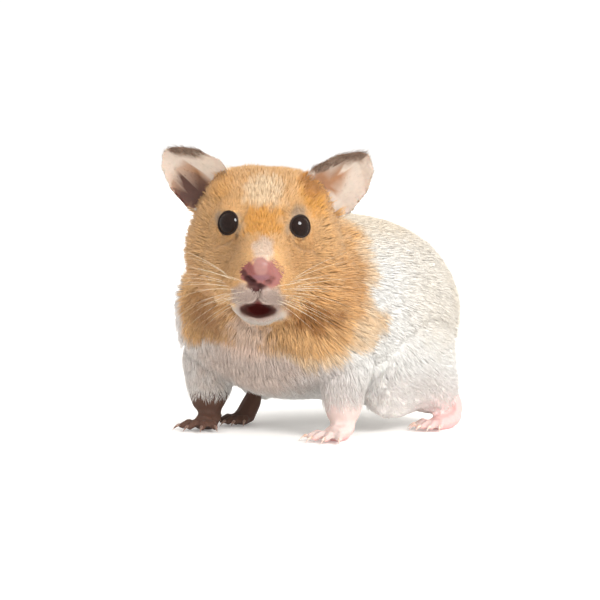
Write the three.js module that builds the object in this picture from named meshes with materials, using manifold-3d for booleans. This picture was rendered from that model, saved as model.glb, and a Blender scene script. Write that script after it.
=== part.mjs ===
// A golden-and-white Syrian hamster in mid-step, head turned to its left, as a life-size still model.
// Millimetres. +Z is up, the trunk runs along Y with the head towards -Y, and +X is the animal's own left side.
// The origin is on the floor, below the middle of the model's box.
//
// The body is built from clay-like masses. A "lump" is an ellipsoid, and a "flesh" solid is the smooth union of a
// few lumps, read off along rays from a point inside it. Legs, toes, claws and tail are "limbs": round-ended tubes
// that follow a smooth line, with a half-width that changes along it. Where two pieces meet, one is cut back from
// the other with a hair's gap. All outer faces of furred pieces are the tips of the coat.
import * as THREE from "three";
import { mergeVertices } from "three/addons/utils/BufferGeometryUtils.js";
import Module from "manifold-3d";

const wasm = await Module();
wasm.setup();

// ---- Driving sizes, in millimetres and degrees -------------------------------------------------------------------

const GAP = 0.3; // between a piece and the one that is cut back for it
const SLIVER = 0.05; // faces thinner than this are merged away after a cut

const BACK_HEIGHT = 56; // highest point of the back above the floor
const BELLY_CLEARANCE = 6.5; // floor to the hair of the belly
const LOIN_HALF_WIDTH = 29;

const EYE_HEIGHT = 53.5; // of the line between the eyes, above the floor
const EYE_SPACING = 13.4; // between the eyeballs' centres
const EYE_RADIUS = 3.6;
const EYE_SET_BACK = -1.1; // centres behind the head's own middle line from ear to ear

const EAR_SPREAD = 15.2; // from the middle of the head to the middle of an ear's base
const EAR_HALF_WIDTH = 7.9;
const EAR_ABOVE_BASE = 13.2; // base to tip
const EAR_TILT = { left: 51, right: 61 }; // out from the head's middle plane
const EAR_ROOT = 6; // how far the ear goes on below its base, inside the head
const EAR_THICKNESS = 1.5;
const EAR_CUP = 3.4; // how deep the ear is cupped

const HEAD_AHEAD = 33.3; // the point between the eyes, ahead of the middle of the trunk
const HEAD_ASIDE = 10.6; // and to the left of it
const HEAD_PITCH = 21; // nose down
const HEAD_ROLL = 3; // crown leaning to the animal's left
const HEAD_YAW = 37.5; // face turned to the animal's left

const TOE_RADIUS = 1.15;
const CLAW_LENGTH = 2.2;
const CLAW_RADIUS = 0.45;

// ---- Finishes ----------------------------------------------------------------------------------------------------

const finish = (color, roughness) => new THREE.MeshStandardMaterial({ color, roughness, metalness: 0 });
const FINISH = {
  goldenFur: finish(0xd9a468, 0.9),
  whiteFur: finish(0xece7e1, 0.9),
  earSkin: finish(0xe9cdb8, 0.7),
  pinkSkin: finish(0xe2b3aa, 0.6),
  noseSkin: finish(0xc98a85, 0.5),
  eyeball: finish(0x1a1310, 0.08),
  claw: finish(0xe9d8c8, 0.4),
};

// ---- Placing -----------------------------------------------------------------------------------------------------

const vec = (x, y, z) => new THREE.Vector3(x, y, z);
const LEFT = 1;
const RIGHT = -1;
const SIDES = { left: LEFT, right: RIGHT };

// A rigid placement: turns in degrees about X, then Y, then Z, and then a shift.
function placement(at, turn = [0, 0, 0]) {
  const euler = new THREE.Euler(...turn.map(THREE.MathUtils.degToRad), "ZYX");
  return new THREE.Matrix4().makeRotationFromEuler(euler).setPosition(...at);
}

const HEAD = placement([HEAD_ASIDE, -HEAD_AHEAD, EYE_HEIGHT], [HEAD_PITCH, HEAD_ROLL, HEAD_YAW]);
const BODY = new THREE.Matrix4();

// ---- Flesh: smooth unions of ellipsoids ---------------------------------------------------------------------------

// One ellipsoid: its centre, its three half-sizes and its own turn, in the body's frame or the head's.
function lump(at, sizes, turn = [0, 0, 0], frame = BODY) {
  const inverse = frame.clone().multiply(placement(at, turn)).invert();
  return { sizes: vec(...sizes), inverse };
}

const headLump = (at, sizes, turn) => lump(at, sizes, turn, HEAD);

// The same ellipsoid on both sides of the frame's plane X = 0.
const headPair = ([x, y, z], sizes, [turnX, turnY, turnZ] = [0, 0, 0]) =>
  [LEFT, RIGHT].map((side) => headLump([side * x, y, z], sizes, [turnX, side * turnY, side * turnZ]));

// About how far a point is outside a lump. It is negative inside.
function lumpDistance({ sizes, inverse }, point) {
  const place = point.clone().applyMatrix4(inverse).divide(sizes);
  const level = place.length();
  const slope = place.divide(sizes).length();
  return slope < 1e-6 ? -Math.min(...sizes.toArray()) : (level * (level - 1)) / slope;
}

// The lesser of two distances, with a fillet where they are within the blend of each other.
function smoothMin(a, b, blend) {
  const share = Math.max(blend - Math.abs(a - b), 0) / blend;
  return Math.min(a, b) - (share * share * blend) / 4;
}

const MOST_REACH = 90; // longer than any ray inside the animal
const HALVINGS = 24;

// The surface of a smooth union, found along rays from a centre that sees all of it. The rays are those of an
// icosphere stretched like the piece, so that its faces come out even.
function flesh({ centre, lumps, blend, stretch = [1, 1, 1], detail }, grow = 0) {
  const distance = (point) => lumps.reduce((d, each) => smoothMin(d, lumpDistance(each, point), blend), MOST_REACH);
  const ball = bare(new THREE.IcosahedronGeometry(1, detail));
  const place = ball.getAttribute("position");
  for (let i = 0; i < place.count; i++) {
    const ray = vec(place.getX(i), place.getY(i), place.getZ(i)).multiply(vec(...stretch)).normalize();
    let [inside, outside] = [0, MOST_REACH];
    for (let step = 0; step < HALVINGS; step++) {
      const middle = (inside + outside) / 2;
      if (distance(ray.clone().multiplyScalar(middle).add(centre)) < grow) inside = middle;
      else outside = middle;
    }
    place.setXYZ(i, ...ray.multiplyScalar(inside).add(centre).toArray());
  }
  return ball;
}

// A geometry with its positions only, and its shared corners merged.
function bare(geometry) {
  geometry.deleteAttribute("normal");
  geometry.deleteAttribute("uv");
  return mergeVertices(geometry, 1e-5);
}

// ---- Limbs: round-ended tubes along a smooth line -------------------------------------------------------------------

const BLUNTNESS = 3.2; // 2 would round the ends like a ball drawn out along the line, more keeps the width further out

// A value at a share from 0 to 1 of an evenly spaced list, eased between the entries.
function valueAlong(values, share) {
  const last = values.length - 1;
  const k = Math.min(Math.floor(share * last), last - 1);
  return THREE.MathUtils.lerp(values[k], values[k + 1], THREE.MathUtils.smoothstep(share * last - k, 0, 1));
}

// A tube through the points with its half-widths at even steps along it. flat is its height over its width.
function limb({ points, radii, flat = 1, sides = 10, rings = 8 }, grow = 0) {
  const line = new THREE.CatmullRomCurve3(points.map((p) => vec(...p)), false, "centripetal");
  const ball = bare(new THREE.SphereGeometry(1, sides, rings));
  const place = ball.getAttribute("position");
  for (let i = 0; i < place.count; i++) {
    const fromMiddle = THREE.MathUtils.clamp(-place.getY(i), -1, 1);
    const share = (1 + fromMiddle) / 2;
    const roundOff = Math.pow(1 - Math.pow(Math.abs(fromMiddle), BLUNTNESS), 1 / BLUNTNESS);
    const girth = roundOff * (valueAlong(radii, share) + grow);
    const spoke = Math.hypot(place.getX(i), place.getZ(i)) || 1;
    const way = line.getTangent(share);
    const level = Math.abs(way.z) > 0.95 ? vec(0, 1, 0) : vec(0, 0, 1);
    const across = way.clone().cross(level).normalize();
    const over = across.clone().cross(way).normalize();
    const point = line.getPoint(share)
      .addScaledVector(across, (place.getX(i) / spoke) * girth)
      .addScaledVector(over, (-place.getZ(i) / spoke) * girth * flat)
      .addScaledVector(way, fromMiddle * grow);
    place.setXYZ(i, ...point.toArray());
  }
  return ball;
}

// ---- Joining and cutting ---------------------------------------------------------------------------------------------

// A closed geometry as a manifold-3d solid.
function solidOf(geometry) {
  const vertProperties = geometry.getAttribute("position").array;
  return new wasm.Manifold(new wasm.Mesh({ numProp: 3, vertProperties, triVerts: new Uint32Array(geometry.index.array) }));
}

// A manifold-3d solid as a flat-shaded geometry.
function geometryOf(solid) {
  const { vertProperties, triVerts } = solid.getMesh();
  const geometry = new THREE.BufferGeometry();
  geometry.setAttribute("position", new THREE.BufferAttribute(new Float32Array(vertProperties), 3));
  geometry.setIndex(new THREE.BufferAttribute(new Uint32Array(triVerts), 1));
  const faceted = geometry.toNonIndexed();
  faceted.computeVertexNormals();
  return faceted;
}

const joined = (solids) => solids.reduce((whole, each) => whole.add(each));

// What is above the floor: paws that reach below it get flat soles.
const ROOM = 300;
const aboveFloor = solidOf(bare(new THREE.BoxGeometry(ROOM, ROOM, ROOM).translate(0, 0, ROOM / 2)));

// ---- Head --------------------------------------------------------------------------------------------------------------

const skull = [
  ...headPair([5, 11, -1.2], [10.5, 12.5, 11.4]), // cranium
  headLump([0, 6, 1.6], [10, 10, 9]), // crown
  headLump([0, 0, -0.5], [7.4, 9, 7.4]), // forehead
  headLump([0, -5, -2.6], [5.8, 12.5, 6.2], [12, 0, 0]), // bridge of the nose
  headLump([0, -10.5, -7.6], [7.2, 8, 7.6]), // muzzle
  ...headPair([4.1, -12.6, -9.6], [4.4, 4.6, 4.6]), // whisker pads
  ...headPair([7, -3.2, -11.3], [7, 8, 8]), // jowls
  ...headPair([10.4, 8.4, -11], [9.3, 12, 12.8]), // cheek pouches
  headLump([0, 5, -13], [15, 13, 9]), // throat side of the jaws
];
const headShape = {
  centre: vec(0, 0.5, -6).applyMatrix4(HEAD),
  lumps: skull,
  blend: 4,
  stretch: [1.1, 1, 1],
  detail: 6,
};

const NOSE = vec(0, -17.5, -3.9);
const noseShape = {
  centre: NOSE.clone().applyMatrix4(HEAD),
  lumps: [headLump([0, NOSE.y, NOSE.z + 0.3], [2.9, 1.9, 2.6]), headLump([0, NOSE.y + 0.4, NOSE.z - 1.6], [1.7, 1.5, 1.9])],
  blend: 1,
  detail: 2,
};

const JAW = vec(0, -5, -18.8);
const jawShape = {
  centre: JAW.clone().applyMatrix4(HEAD),
  lumps: [headLump([0, -9, -19.3], [5, 4.2, 3]), headLump([0, -2.4, -18.8], [8.4, 8.4, 5])],
  blend: 3,
  detail: 2,
};

const MOUTH = vec(0, -12.8, -16.2);
const mouthShape = {
  centre: MOUTH.clone().applyMatrix4(HEAD),
  lumps: [headLump(MOUTH.toArray(), [3.9, 4.4, 2])],
  blend: 1,
  detail: 2,
};

function eyeShape(side) {
  const at = vec((side * EYE_SPACING) / 2, EYE_SET_BACK, 0);
  const lumps = [headLump(at.toArray(), [EYE_RADIUS, EYE_RADIUS, EYE_RADIUS])];
  return { centre: at.applyMatrix4(HEAD), lumps, blend: 1, detail: 2 };
}

// An ear is a rounded leaf, cupped towards the front. It is a flattened ball in the ear's own frame: X across, Z from
// base to tip, and the open side towards -Y.
function ear(word, grow = 0) {
  const side = SIDES[word];
  const frame = HEAD.clone().multiply(placement([side * EAR_SPREAD, 12, 5.4], [-4, side * EAR_TILT[word], side * 14]));
  const ball = bare(new THREE.SphereGeometry(1, 20, 6).rotateX(Math.PI / 2));
  const place = ball.getAttribute("position");
  for (let i = 0; i < place.count; i++) {
    const [x, y, z] = [place.getX(i), place.getY(i), place.getZ(i)];
    const radial = Math.min(Math.hypot(x, z), 1);
    const edge = Math.sqrt(Math.max(radial, 1e-9)); // crowds the rings towards the rim
    const point = Math.max(z, 0) ** 2;
    const halfWidth = EAR_HALF_WIDTH * (side * x > 0 ? 1.18 - 0.16 * point : 0.92 - 0.4 * point); // outer edge fuller
    const reach = z > 0 ? EAR_ABOVE_BASE : EAR_ROOT;
    const [across, upward] = [(x / edge) * (halfWidth + grow), (z / edge) * (reach + grow)];
    const cup = EAR_CUP * (1 - Math.hypot(across / halfWidth, upward / reach) ** 4);
    place.setXYZ(i, across, y * (EAR_THICKNESS / 2 + 1.5 * grow) + cup, upward);
  }
  return ball.applyMatrix4(frame);
}

// ---- Trunk, neck and tail ----------------------------------------------------------------------------------------------

const TRUNK_MIDDLE = (BACK_HEIGHT + BELLY_CLEARANCE) / 2;
const TRUNK_HALF_HEIGHT = (BACK_HEIGHT - BELLY_CLEARANCE) / 2;

// Trunk and neck are one flesh, parted by a plane that leans back over the shoulders.
const bodyShape = {
  centre: vec(0, 2, TRUNK_MIDDLE - 2),
  lumps: [
    lump([-1, -12, TRUNK_MIDDLE - 0.5], [25.5, 19, TRUNK_HALF_HEIGHT - 2.5]), // chest
    lump([-19, -17, 30], [9.5, 11, 15]), // right shoulder
    lump([19, -15, 29], [8.5, 11, 14]), // left shoulder
    lump([3.5, -21, 38], [19.5, 13.5, 16]), // neck
    lump([0, 4, TRUNK_MIDDLE], [LOIN_HALF_WIDTH - 1, 25, TRUNK_HALF_HEIGHT - 0.5]), // loins and belly
    lump([3, 19, TRUNK_MIDDLE - 3], [26, 22, TRUNK_HALF_HEIGHT]), // rump
  ],
  blend: 7,
  stretch: [1, 1.4, 0.9],
  detail: 7,
};
const NECK_PARTING = { normal: vec(0.16, -0.88, 0.45).normalize(), through: vec(0, -15, 38) };

// What is in front of the parting plane (side 1) or behind it (side -1), half a gap from it.
function parted(solid, side) {
  const { normal, through } = NECK_PARTING;
  const facing = normal.clone().multiplyScalar(side);
  return solid.trimByPlane(facing.toArray(), facing.dot(through) + GAP / 2);
}

const tailShape = { points: [[3.6, 35, 15], [4, 40.5, 12], [4.4, 45.5, 11]], radii: [3.2, 2.2, 1.3], sides: 8, rings: 5 };

// ---- Legs and feet -----------------------------------------------------------------------------------------------------

const legShapes = {
  foreleg_left: {
    centre: vec(19.5, -14, 11),
    lumps: [lump([18.5, -12, 20], [7.5, 9, 10]), lump([20.2, -14.2, 9], [5, 5.4, 6.6])],
  },
  foreleg_right: {
    centre: vec(-18.5, -18, 11),
    lumps: [lump([-20, -16.5, 19], [8, 9, 10]), lump([-19.4, -19.2, 10], [5.4, 5.6, 7.4])],
  },
  hindleg_left: {
    centre: vec(24, 12, 15),
    lumps: [
      lump([22.3, 13, 19], [8.2, 14.5, 14.5], [0, 0, -6]), // thigh
      lump([26.4, 18.2, 9.6], [5.4, 6.4, 6.8]), // shank
      lump([22.5, 3, 10], [6.6, 9.5, 7]), // knee and the fold of the flank
    ],
  },
  hindleg_right: {
    centre: vec(-20, 3, 19),
    lumps: [lump([-21.5, 6, 21], [8.5, 15, 14.5], [0, 0, 6]), lump([-17, 0, 10.5], [5, 6, 5.5])],
  },
};

// A foot is a palm with toes that fan out from its front. Its frame has the toes pointing to -Y, and heel and toes
// given as they lie there.
const FEET = {
  forepaw_left: { at: [21, -17.6, 0], yaw: 0, side: LEFT, fore: true },
  forepaw_right: { at: [-17.8, -22, 0], yaw: 18, side: RIGHT, fore: true },
  hindfoot_left: { at: [29.4, 15, 0], yaw: -4, side: LEFT, fore: false },
  hindfoot_right: { at: [-16, -8.6, 0], yaw: 0, side: RIGHT, fore: false, raised: true },
};
const PALM = {
  fore: { points: [[0, 5.2, 5], [0, 1.8, 2.6], [0, -2.8, 1.5]], radii: [2.9, 3.3, 3.6], flat: 0.75 },
  hind: { points: [[0, 7.4, 3.4], [0, 3.4, 1.9], [0, -3, 1.4]], radii: [2.4, 2.7, 3.2], flat: 0.8 },
  raised: { points: [[0, 5.6, 10.6], [0, 3, 5.8], [0, 0, 2.2], [0, -3.4, 1.2]], radii: [2.6, 2.7, 3, 3.2], flat: 0.8 },
};
const HOCK = { points: [[0, 6.3, 2], [0, 5.6, 8.8]], radii: [2.1, 2.1], sides: 8, rings: 5 };
const FAN = {
  fore: { spread: [-36, -12, 12, 36], root: 1.7, length: [6, 6.8, 6.8, 6], lift: 1.7 },
  hind: { spread: [-32, -15, 0, 15, 32], root: 2, length: [4.8, 6.2, 6.8, 6.2, 4.8], lift: 1.7 },
};

// The toes of a foot, each with its own straight direction in the foot's frame.
function toesOf({ side, fore }) {
  const { spread, root, length, lift } = fore ? FAN.fore : FAN.hind;
  return spread.map((angle, i) => {
    const way = THREE.MathUtils.degToRad(angle) * side;
    const out = vec(Math.sin(way), -Math.cos(way), 0);
    const start = vec(out.x * root * 1.6, -0.8 + out.y * root * 0.4, 1);
    return { out, start, length: length[i], lift };
  });
}

const toArrays = (points, frame) => points.map((p) => p.clone().applyMatrix4(frame).toArray());

function foot(shape, grow = 0) {
  const frame = placement(shape.at, [0, 0, shape.yaw]);
  const palm = shape.fore ? PALM.fore : shape.raised ? PALM.raised : PALM.hind;
  const palmLine = toArrays(palm.points.map((p) => vec(...p)), frame);
  const pieces = [solidOf(limb({ ...palm, points: palmLine, sides: 8, rings: 5 }, grow))];
  if (palm === PALM.hind) {
    const points = toArrays(HOCK.points.map((p) => vec(...p)), frame);
    pieces.push(solidOf(limb({ ...HOCK, points }, grow)));
  }
  for (const { out, start, length, lift } of toesOf(shape)) {
    const knuckle = start.clone().addScaledVector(out, length * 0.5).setZ(lift + 0.3);
    const tip = start.clone().addScaledVector(out, length).setZ(TOE_RADIUS * 0.75);
    const points = toArrays([start, knuckle, tip], frame);
    const radii = [TOE_RADIUS, TOE_RADIUS, TOE_RADIUS * 0.85];
    pieces.push(solidOf(limb({ points, radii, sides: 5, rings: 4 }, grow)));
  }
  return joined(pieces);
}

// The claws of a foot: short hooks out of the toes' tips, clear of the floor.
function clawsOf(shape) {
  const frame = placement(shape.at, [0, 0, shape.yaw]);
  return toesOf(shape).map(({ out, start, length }) => {
    const root = start.clone().addScaledVector(out, length - 0.5).setZ(1.45);
    const crest = root.clone().addScaledVector(out, CLAW_LENGTH * 0.55).setZ(1.45);
    const point = root.clone().addScaledVector(out, CLAW_LENGTH).setZ(0.7);
    return { points: toArrays([root, crest, point], frame), radii: [CLAW_RADIUS, CLAW_RADIUS, 0.28], sides: 5, rings: 3 };
  });
}

// ---- The pieces, each with what it is cut back from ----------------------------------------------------------------------

// A piece grows by the gap where it cuts a neighbour. The order is from the pieces that stay whole to the trunk.
const pieces = [];
function piece(name, material, make, cutFor = [], finishing = (solid) => solid) {
  pieces.push({ name, material, make, cutFor, finishing });
}
const fleshPiece = (shape) => (grow) => solidOf(flesh(shape, grow));
const limbPiece = (shape) => (grow) => solidOf(limb(shape, grow));

for (const [word, side] of Object.entries(SIDES)) {
  piece(`eye_${word}`, FINISH.eyeball, fleshPiece(eyeShape(side)));
  piece(`ear_${word}`, FINISH.earSkin, (grow) => solidOf(ear(word, grow)));
}
const mouthCut = (solid) => solid.subtract(solidOf(flesh(mouthShape)));
piece("nose", FINISH.noseSkin, fleshPiece(noseShape));
piece("lower_jaw", FINISH.whiteFur, fleshPiece(jawShape), [], mouthCut);
piece("head", FINISH.goldenFur, fleshPiece(headShape), ["eye_left", "eye_right", "ear_left", "ear_right", "nose", "lower_jaw"], mouthCut);

for (const [name, shape] of Object.entries(FEET)) {
  const claws = clawsOf(shape).map((claw, i) => {
    const clawName = `claw_${name}_${i + 1}`;
    piece(clawName, FINISH.claw, limbPiece(claw));
    return clawName;
  });
  piece(name, FINISH.pinkSkin, (grow) => foot(shape, grow), claws, (solid) => solid.intersect(aboveFloor));
}
// The forelegs give way to the hind legs, which step up close behind them.
const CUT_FOR_LEG = {
  foreleg_left: ["forepaw_left", "hindleg_left"],
  foreleg_right: ["forepaw_right", "hindleg_right", "hindfoot_right"],
  hindleg_left: ["hindfoot_left"],
  hindleg_right: ["hindfoot_right"],
};
for (const [name, shape] of Object.entries(legShapes)) {
  piece(name, FINISH.whiteFur, fleshPiece({ ...shape, blend: 4, detail: 3 }), CUT_FOR_LEG[name], (solid) => solid.intersect(aboveFloor));
}
piece("tail", FINISH.pinkSkin, limbPiece(tailShape));
const HEAD_PIECES = ["head", "lower_jaw"];
const body = (side) => (grow) => parted(solidOf(flesh(bodyShape, grow)), side);
piece("neck", FINISH.goldenFur, body(1), [...HEAD_PIECES, "foreleg_left", "foreleg_right"]);
piece("trunk", FINISH.whiteFur, body(-1), [...HEAD_PIECES, "tail", ...Object.keys(legShapes), ...Object.keys(FEET)]);

const hamster = new THREE.Group();
const byName = Object.fromEntries(pieces.map((each) => [each.name, each]));
for (const { name, material, make, cutFor, finishing } of pieces) {
  const cut = cutFor.reduce((solid, other) => solid.subtract(byName[other].make(GAP)), make(0));
  const whole = finishing(cut);
  const main = whole.simplify(SLIVER).decompose().sort((a, b) => b.volume() - a.volume())[0];
  const mesh = new THREE.Mesh(geometryOf(main), material);
  mesh.name = name;
  hamster.add(mesh);
}

// The origin goes to the floor, below the middle of the box.
const box = new THREE.Box3().setFromObject(hamster, true);
const middle = box.getCenter(vec(0, 0, 0));
hamster.position.set(-middle.x, -middle.y, -box.min.z);

export default hamster;
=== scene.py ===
"""A golden and white Syrian hamster, life-size, caught in mid step.

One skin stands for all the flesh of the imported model. A coat of solid tufts follows the lie of the
fur over it, and the eyes, claws and whiskers are pieces of their own. Lengths are in metres, and the
fields whose names end in _mm are in millimetres.
"""

import logging
import math
from dataclasses import dataclass, field
from enum import Enum

import bmesh
import bpy
import numpy as np
from mathutils import Euler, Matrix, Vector
from mathutils.bvhtree import BVHTree
from mathutils.kdtree import KDTree


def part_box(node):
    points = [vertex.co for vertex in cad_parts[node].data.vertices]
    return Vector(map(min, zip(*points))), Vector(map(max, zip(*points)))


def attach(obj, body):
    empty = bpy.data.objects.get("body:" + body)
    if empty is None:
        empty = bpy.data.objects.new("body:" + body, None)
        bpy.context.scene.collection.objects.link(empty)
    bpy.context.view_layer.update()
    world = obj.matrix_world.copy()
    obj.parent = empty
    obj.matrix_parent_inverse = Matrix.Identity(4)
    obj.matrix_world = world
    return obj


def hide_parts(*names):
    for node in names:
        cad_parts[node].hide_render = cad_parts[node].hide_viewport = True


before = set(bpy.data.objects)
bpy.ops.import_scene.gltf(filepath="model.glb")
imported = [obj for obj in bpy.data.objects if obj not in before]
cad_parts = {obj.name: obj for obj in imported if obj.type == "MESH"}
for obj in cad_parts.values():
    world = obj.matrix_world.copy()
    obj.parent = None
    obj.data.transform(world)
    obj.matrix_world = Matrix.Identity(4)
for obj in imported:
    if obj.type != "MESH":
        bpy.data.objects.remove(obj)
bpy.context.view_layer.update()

MM = 0.001
WELD = 2e-6
ROOT = "root"
BAKE_MAP = "OFBake"
LOG = logging.getLogger("hamster")

TRUNK = ["trunk"]
FORELEGS = ["foreleg_left", "foreleg_right"]
THIGHS = ["hindleg_left", "hindleg_right"]
LEGS = FORELEGS + THIGHS
FEET = ["forepaw_left", "forepaw_right", "hindfoot_left", "hindfoot_right"]
EARS = ["ear_left", "ear_right"]
FACE = ["head", "lower_jaw"]
FLESH = TRUNK + LEGS + FEET + EARS + FACE + ["neck", "nose", "tail"]
SIDES = (1, -1)
EYES = {1: "eye_left", -1: "eye_right"}

RIPPLE_WAVES = 6
RIPPLE_PITCH = (0.7, 1.5)
RIPPLE_HEIGHT = 3.5


# ---------------------------------------------------------------- numbers and colours


def smooth_step(low: float, high: float, value: np.ndarray) -> np.ndarray:
    """Eased 0 to 1 ramp of value from low to high, which may lie either way round."""
    t = np.clip((value - low) / (high - low), 0.0, 1.0)
    return t * t * (3.0 - 2.0 * t)


@dataclass(frozen=True)
class Ease:
    """A value that grows by gain, from base, while another goes from start to end."""

    start: float
    end: float
    base: float = 0.0
    gain: float = 1.0

    def __call__(self, value: np.ndarray) -> np.ndarray:
        """The eased value for each of the other's."""
        return self.base + self.gain * smooth_step(self.start, self.end, value)


def unit(vectors: np.ndarray) -> np.ndarray:
    """The rows of vectors, each made one long."""
    return vectors / np.maximum(np.linalg.norm(vectors, axis=-1, keepdims=True), 1e-12)


def ripple(points_mm: np.ndarray, wave_mm: float, seed: int) -> np.ndarray:
    """Smooth, repeatable noise from -1 to 1 in space.

    Args:
        points_mm: Places, one a row, in millimetres.
        wave_mm: Rough distance between two crests.
        seed: Chooses the set of waves.

    Returns:
        One value a place.
    """
    dice = np.random.default_rng(seed)
    total = np.zeros(len(points_mm))
    for _ in range(RIPPLE_WAVES):
        direction = unit(dice.normal(size=3)) * dice.uniform(*RIPPLE_PITCH) * 2.0 * math.pi / wave_mm
        total += np.sin(points_mm @ direction + dice.uniform(0.0, 2.0 * math.pi))
    return total / RIPPLE_HEIGHT


def reach_in(places: np.ndarray, centre: tuple, radii: tuple) -> np.ndarray:
    """How far out in an ellipsoid each place lies: 0 in the middle, 1 on the surface."""
    return np.linalg.norm((places - np.array(centre)) / np.array(radii), axis=1)


def colour(code: str) -> tuple[float, float, float]:
    """Linear red, green and blue of an sRGB hex code such as d9a468."""
    parts = [int(code[i : i + 2], 16) / 255.0 for i in (0, 2, 4)]
    red, green, blue = (c / 12.92 if c <= 0.04045 else ((c + 0.055) / 1.055) ** 2.4 for c in parts)
    return red, green, blue


class Tint(Enum):
    """The colours of coat and skin."""

    WHITE = "fdfbf7"
    CREAM = "f4e7d3"
    GOLD = "eebd81"
    EDGE_GOLD = "f4d6b0"
    DEEP_GOLD = "c07f38"
    OCHRE = "985a12"
    ORANGE = "eeae56"
    FOREHEAD = "faddb6"
    BRIDGE = "e4c9b2"
    # Painted shade: darker tan for the shaded right side of the face, beside the nose and under the jaw.
    PAINTED_SHADE_TAN = "a97c50"
    # Painted shade: grey-beige for the white chest in the head's shadow.
    PAINTED_CHEST_SHADE = "e0cbbe"
    THROAT = "f4d8c6"
    THROAT_TAN = "dfc3ae"
    # Painted shade: warm grey for white fur on shaded sides and undersides.
    PAINTED_SHADE_GREY = "e6ded9"
    LID = "2a1d18"
    LID_GREY = "a68f7c"
    LIP = "c3aca0"
    LIP_RIM = "9f8a7f"
    CHIN = "c8bfb6"
    MOUTH = "6a211d"
    LIP_INSIDE = "7d5a52"
    NOSE = "98625c"
    # Painted shade: darker pink for the nose's shaded right wing.
    NOSE_PAINTED_SHADE = "8a504b"
    # Painted light: paler pink for the lit strip down the top of the nose.
    NOSE_PAINTED_LIGHT = "a3766e"
    NOSE_MAUVE = "8f636a"
    # Painted shade: near black for the nostrils and the cleft below the nose.
    NOSTRIL_PAINTED_SHADE = "4a211f"
    EAR_PALE = "cabaac"
    EAR_ROSE = "a57858"
    # Painted shade: dark brown and brown for the shaded hollow of the right ear.
    EAR_HOLLOW_SHADE = "54382f"
    EAR_HOLLOW_SHADE_EDGE = "9a6c48"
    EAR_FRINGE = "8d7462"
    EAR_GREY = "d3c3b3"
    PAW = "d4bfb8"
    PAW_PAD = "dea6a4"
    # Painted shade: dark brown skin and pads for the pink right feet, which stand in shadow.
    SHADED_PAW = "5f4336"
    SHADED_PAD = "4c3229"

    @property
    def linear(self) -> np.ndarray:
        """The colour in linear red, green and blue."""
        return np.array(colour(self.value))


# ---------------------------------------------------------------- the head's own frame


@dataclass(frozen=True)
class HeadFrame:
    """Place and turn of the head: x to the animal's left, -y out through the nose, z up."""

    pitch: float = 21.0
    roll: float = 3.0
    yaw: float = 37.5
    eyes_ahead_mm: float = 1.1

    @property
    def turn(self) -> np.ndarray:
        """Rotation from the head's frame to the model's."""
        angles = [math.radians(a) for a in (self.pitch, self.roll, self.yaw)]
        return np.array(Euler(angles, "XYZ").to_matrix())

    @property
    def origin(self) -> np.ndarray:
        """The point midway between the eyes, a little behind them."""
        middle = sum(centre_of(name) for name in EYES.values()) / 2.0
        return middle + self.turn @ np.array([0.0, self.eyes_ahead_mm, 0.0]) * MM

    def local_mm(self, points: np.ndarray) -> np.ndarray:
        """Model places in metres as head places in millimetres."""
        return (points - self.origin) @ self.turn / MM

    def world(self, local_mm: np.ndarray) -> np.ndarray:
        """Head places in millimetres as model places in metres."""
        return local_mm * MM @ self.turn.T + self.origin


def centre_of(name: str) -> np.ndarray:
    """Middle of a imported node's box."""
    low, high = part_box(name)
    return np.array((low + high) / 2.0)


HEAD = HeadFrame()
NOSE_TIP_MM = np.array([0.0, -18.4, -4.0])
EYE_GAZE = {1: np.array([0.54, -0.74, 0.46]), -1: np.array([-0.54, -0.74, 0.40])}
EYE_RADIUS_MM = 3.2
EYE_OUTWARD_MM = np.array([1.0, -0.3, 0.45])
EYE_OPENING = 52.0
EYE_OVAL = {1: 0.84, -1: 1.02}

FUR_MM = {"trunk": 5.6, "neck": 6.4, "tail": 3.0, "lower_jaw": 1.5, "nose": 0.0}
FUR_MM |= {name: 3.4 for name in LEGS} | {name: 0.9 for name in EARS} | {name: 0.0 for name in FEET}
FUR_FROM_NOSE_MM = Ease(4.0, 27.0, 0.8, 5.2)
FUR_BY_EYE_MM = Ease(3.6, 12.0, 1.0, 5.6)
FUR_BY_MOUTH_MM = Ease(1.2, 2.9, 0.4, 4.5)
FUR_BY_GROUND = Ease(4.0, 17.0, 0.35, 0.65)
CROWN_UP, CROWN_BACK = Ease(1.0, 8.0), Ease(24.0, 14.0)
CROWN_CUT = 0.5
FUR_RISE = {"head": 24.0, "neck": 22.0}
FUR_RISE_BODY = 15.0


def eye_centre_mm(side: int) -> np.ndarray:
    """Middle of an eyeball in the head's frame; side is 1 for the left eye, -1 for the right."""
    middle = HEAD.local_mm(centre_of(EYES[side])[None])[0]
    return middle + EYE_OUTWARD_MM * [side, 1, 1]


def eye_polar(local: np.ndarray, side: int) -> tuple[np.ndarray, np.ndarray]:
    """Places round an eye by distance and by angle from its gaze.

    Args:
        local: Places in the head's frame, in millimetres.
        side: 1 for the left eye, -1 for the right.

    Returns:
        Distance from the eyeball's middle, and the angle in degrees, which counts more up and down
        than across, so that the lids close on an oval.
    """
    offset = local - eye_centre_mm(side)
    gap = np.linalg.norm(offset, axis=1)
    gaze = unit(EYE_GAZE[side])
    across = unit(np.cross(gaze, [0.0, 0.0, 1.0]))
    ahead = offset @ gaze
    sideways, upwards = offset @ across, offset @ np.cross(across, gaze)
    oval = np.hypot(sideways, upwards / EYE_OVAL[side])
    return gap, np.degrees(np.arctan2(oval, ahead))


def on(label: np.ndarray, names: list[str]) -> np.ndarray:
    """Which labels are one of the named nodes."""
    return np.isin(label, [FLESH.index(name) for name in names])


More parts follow.
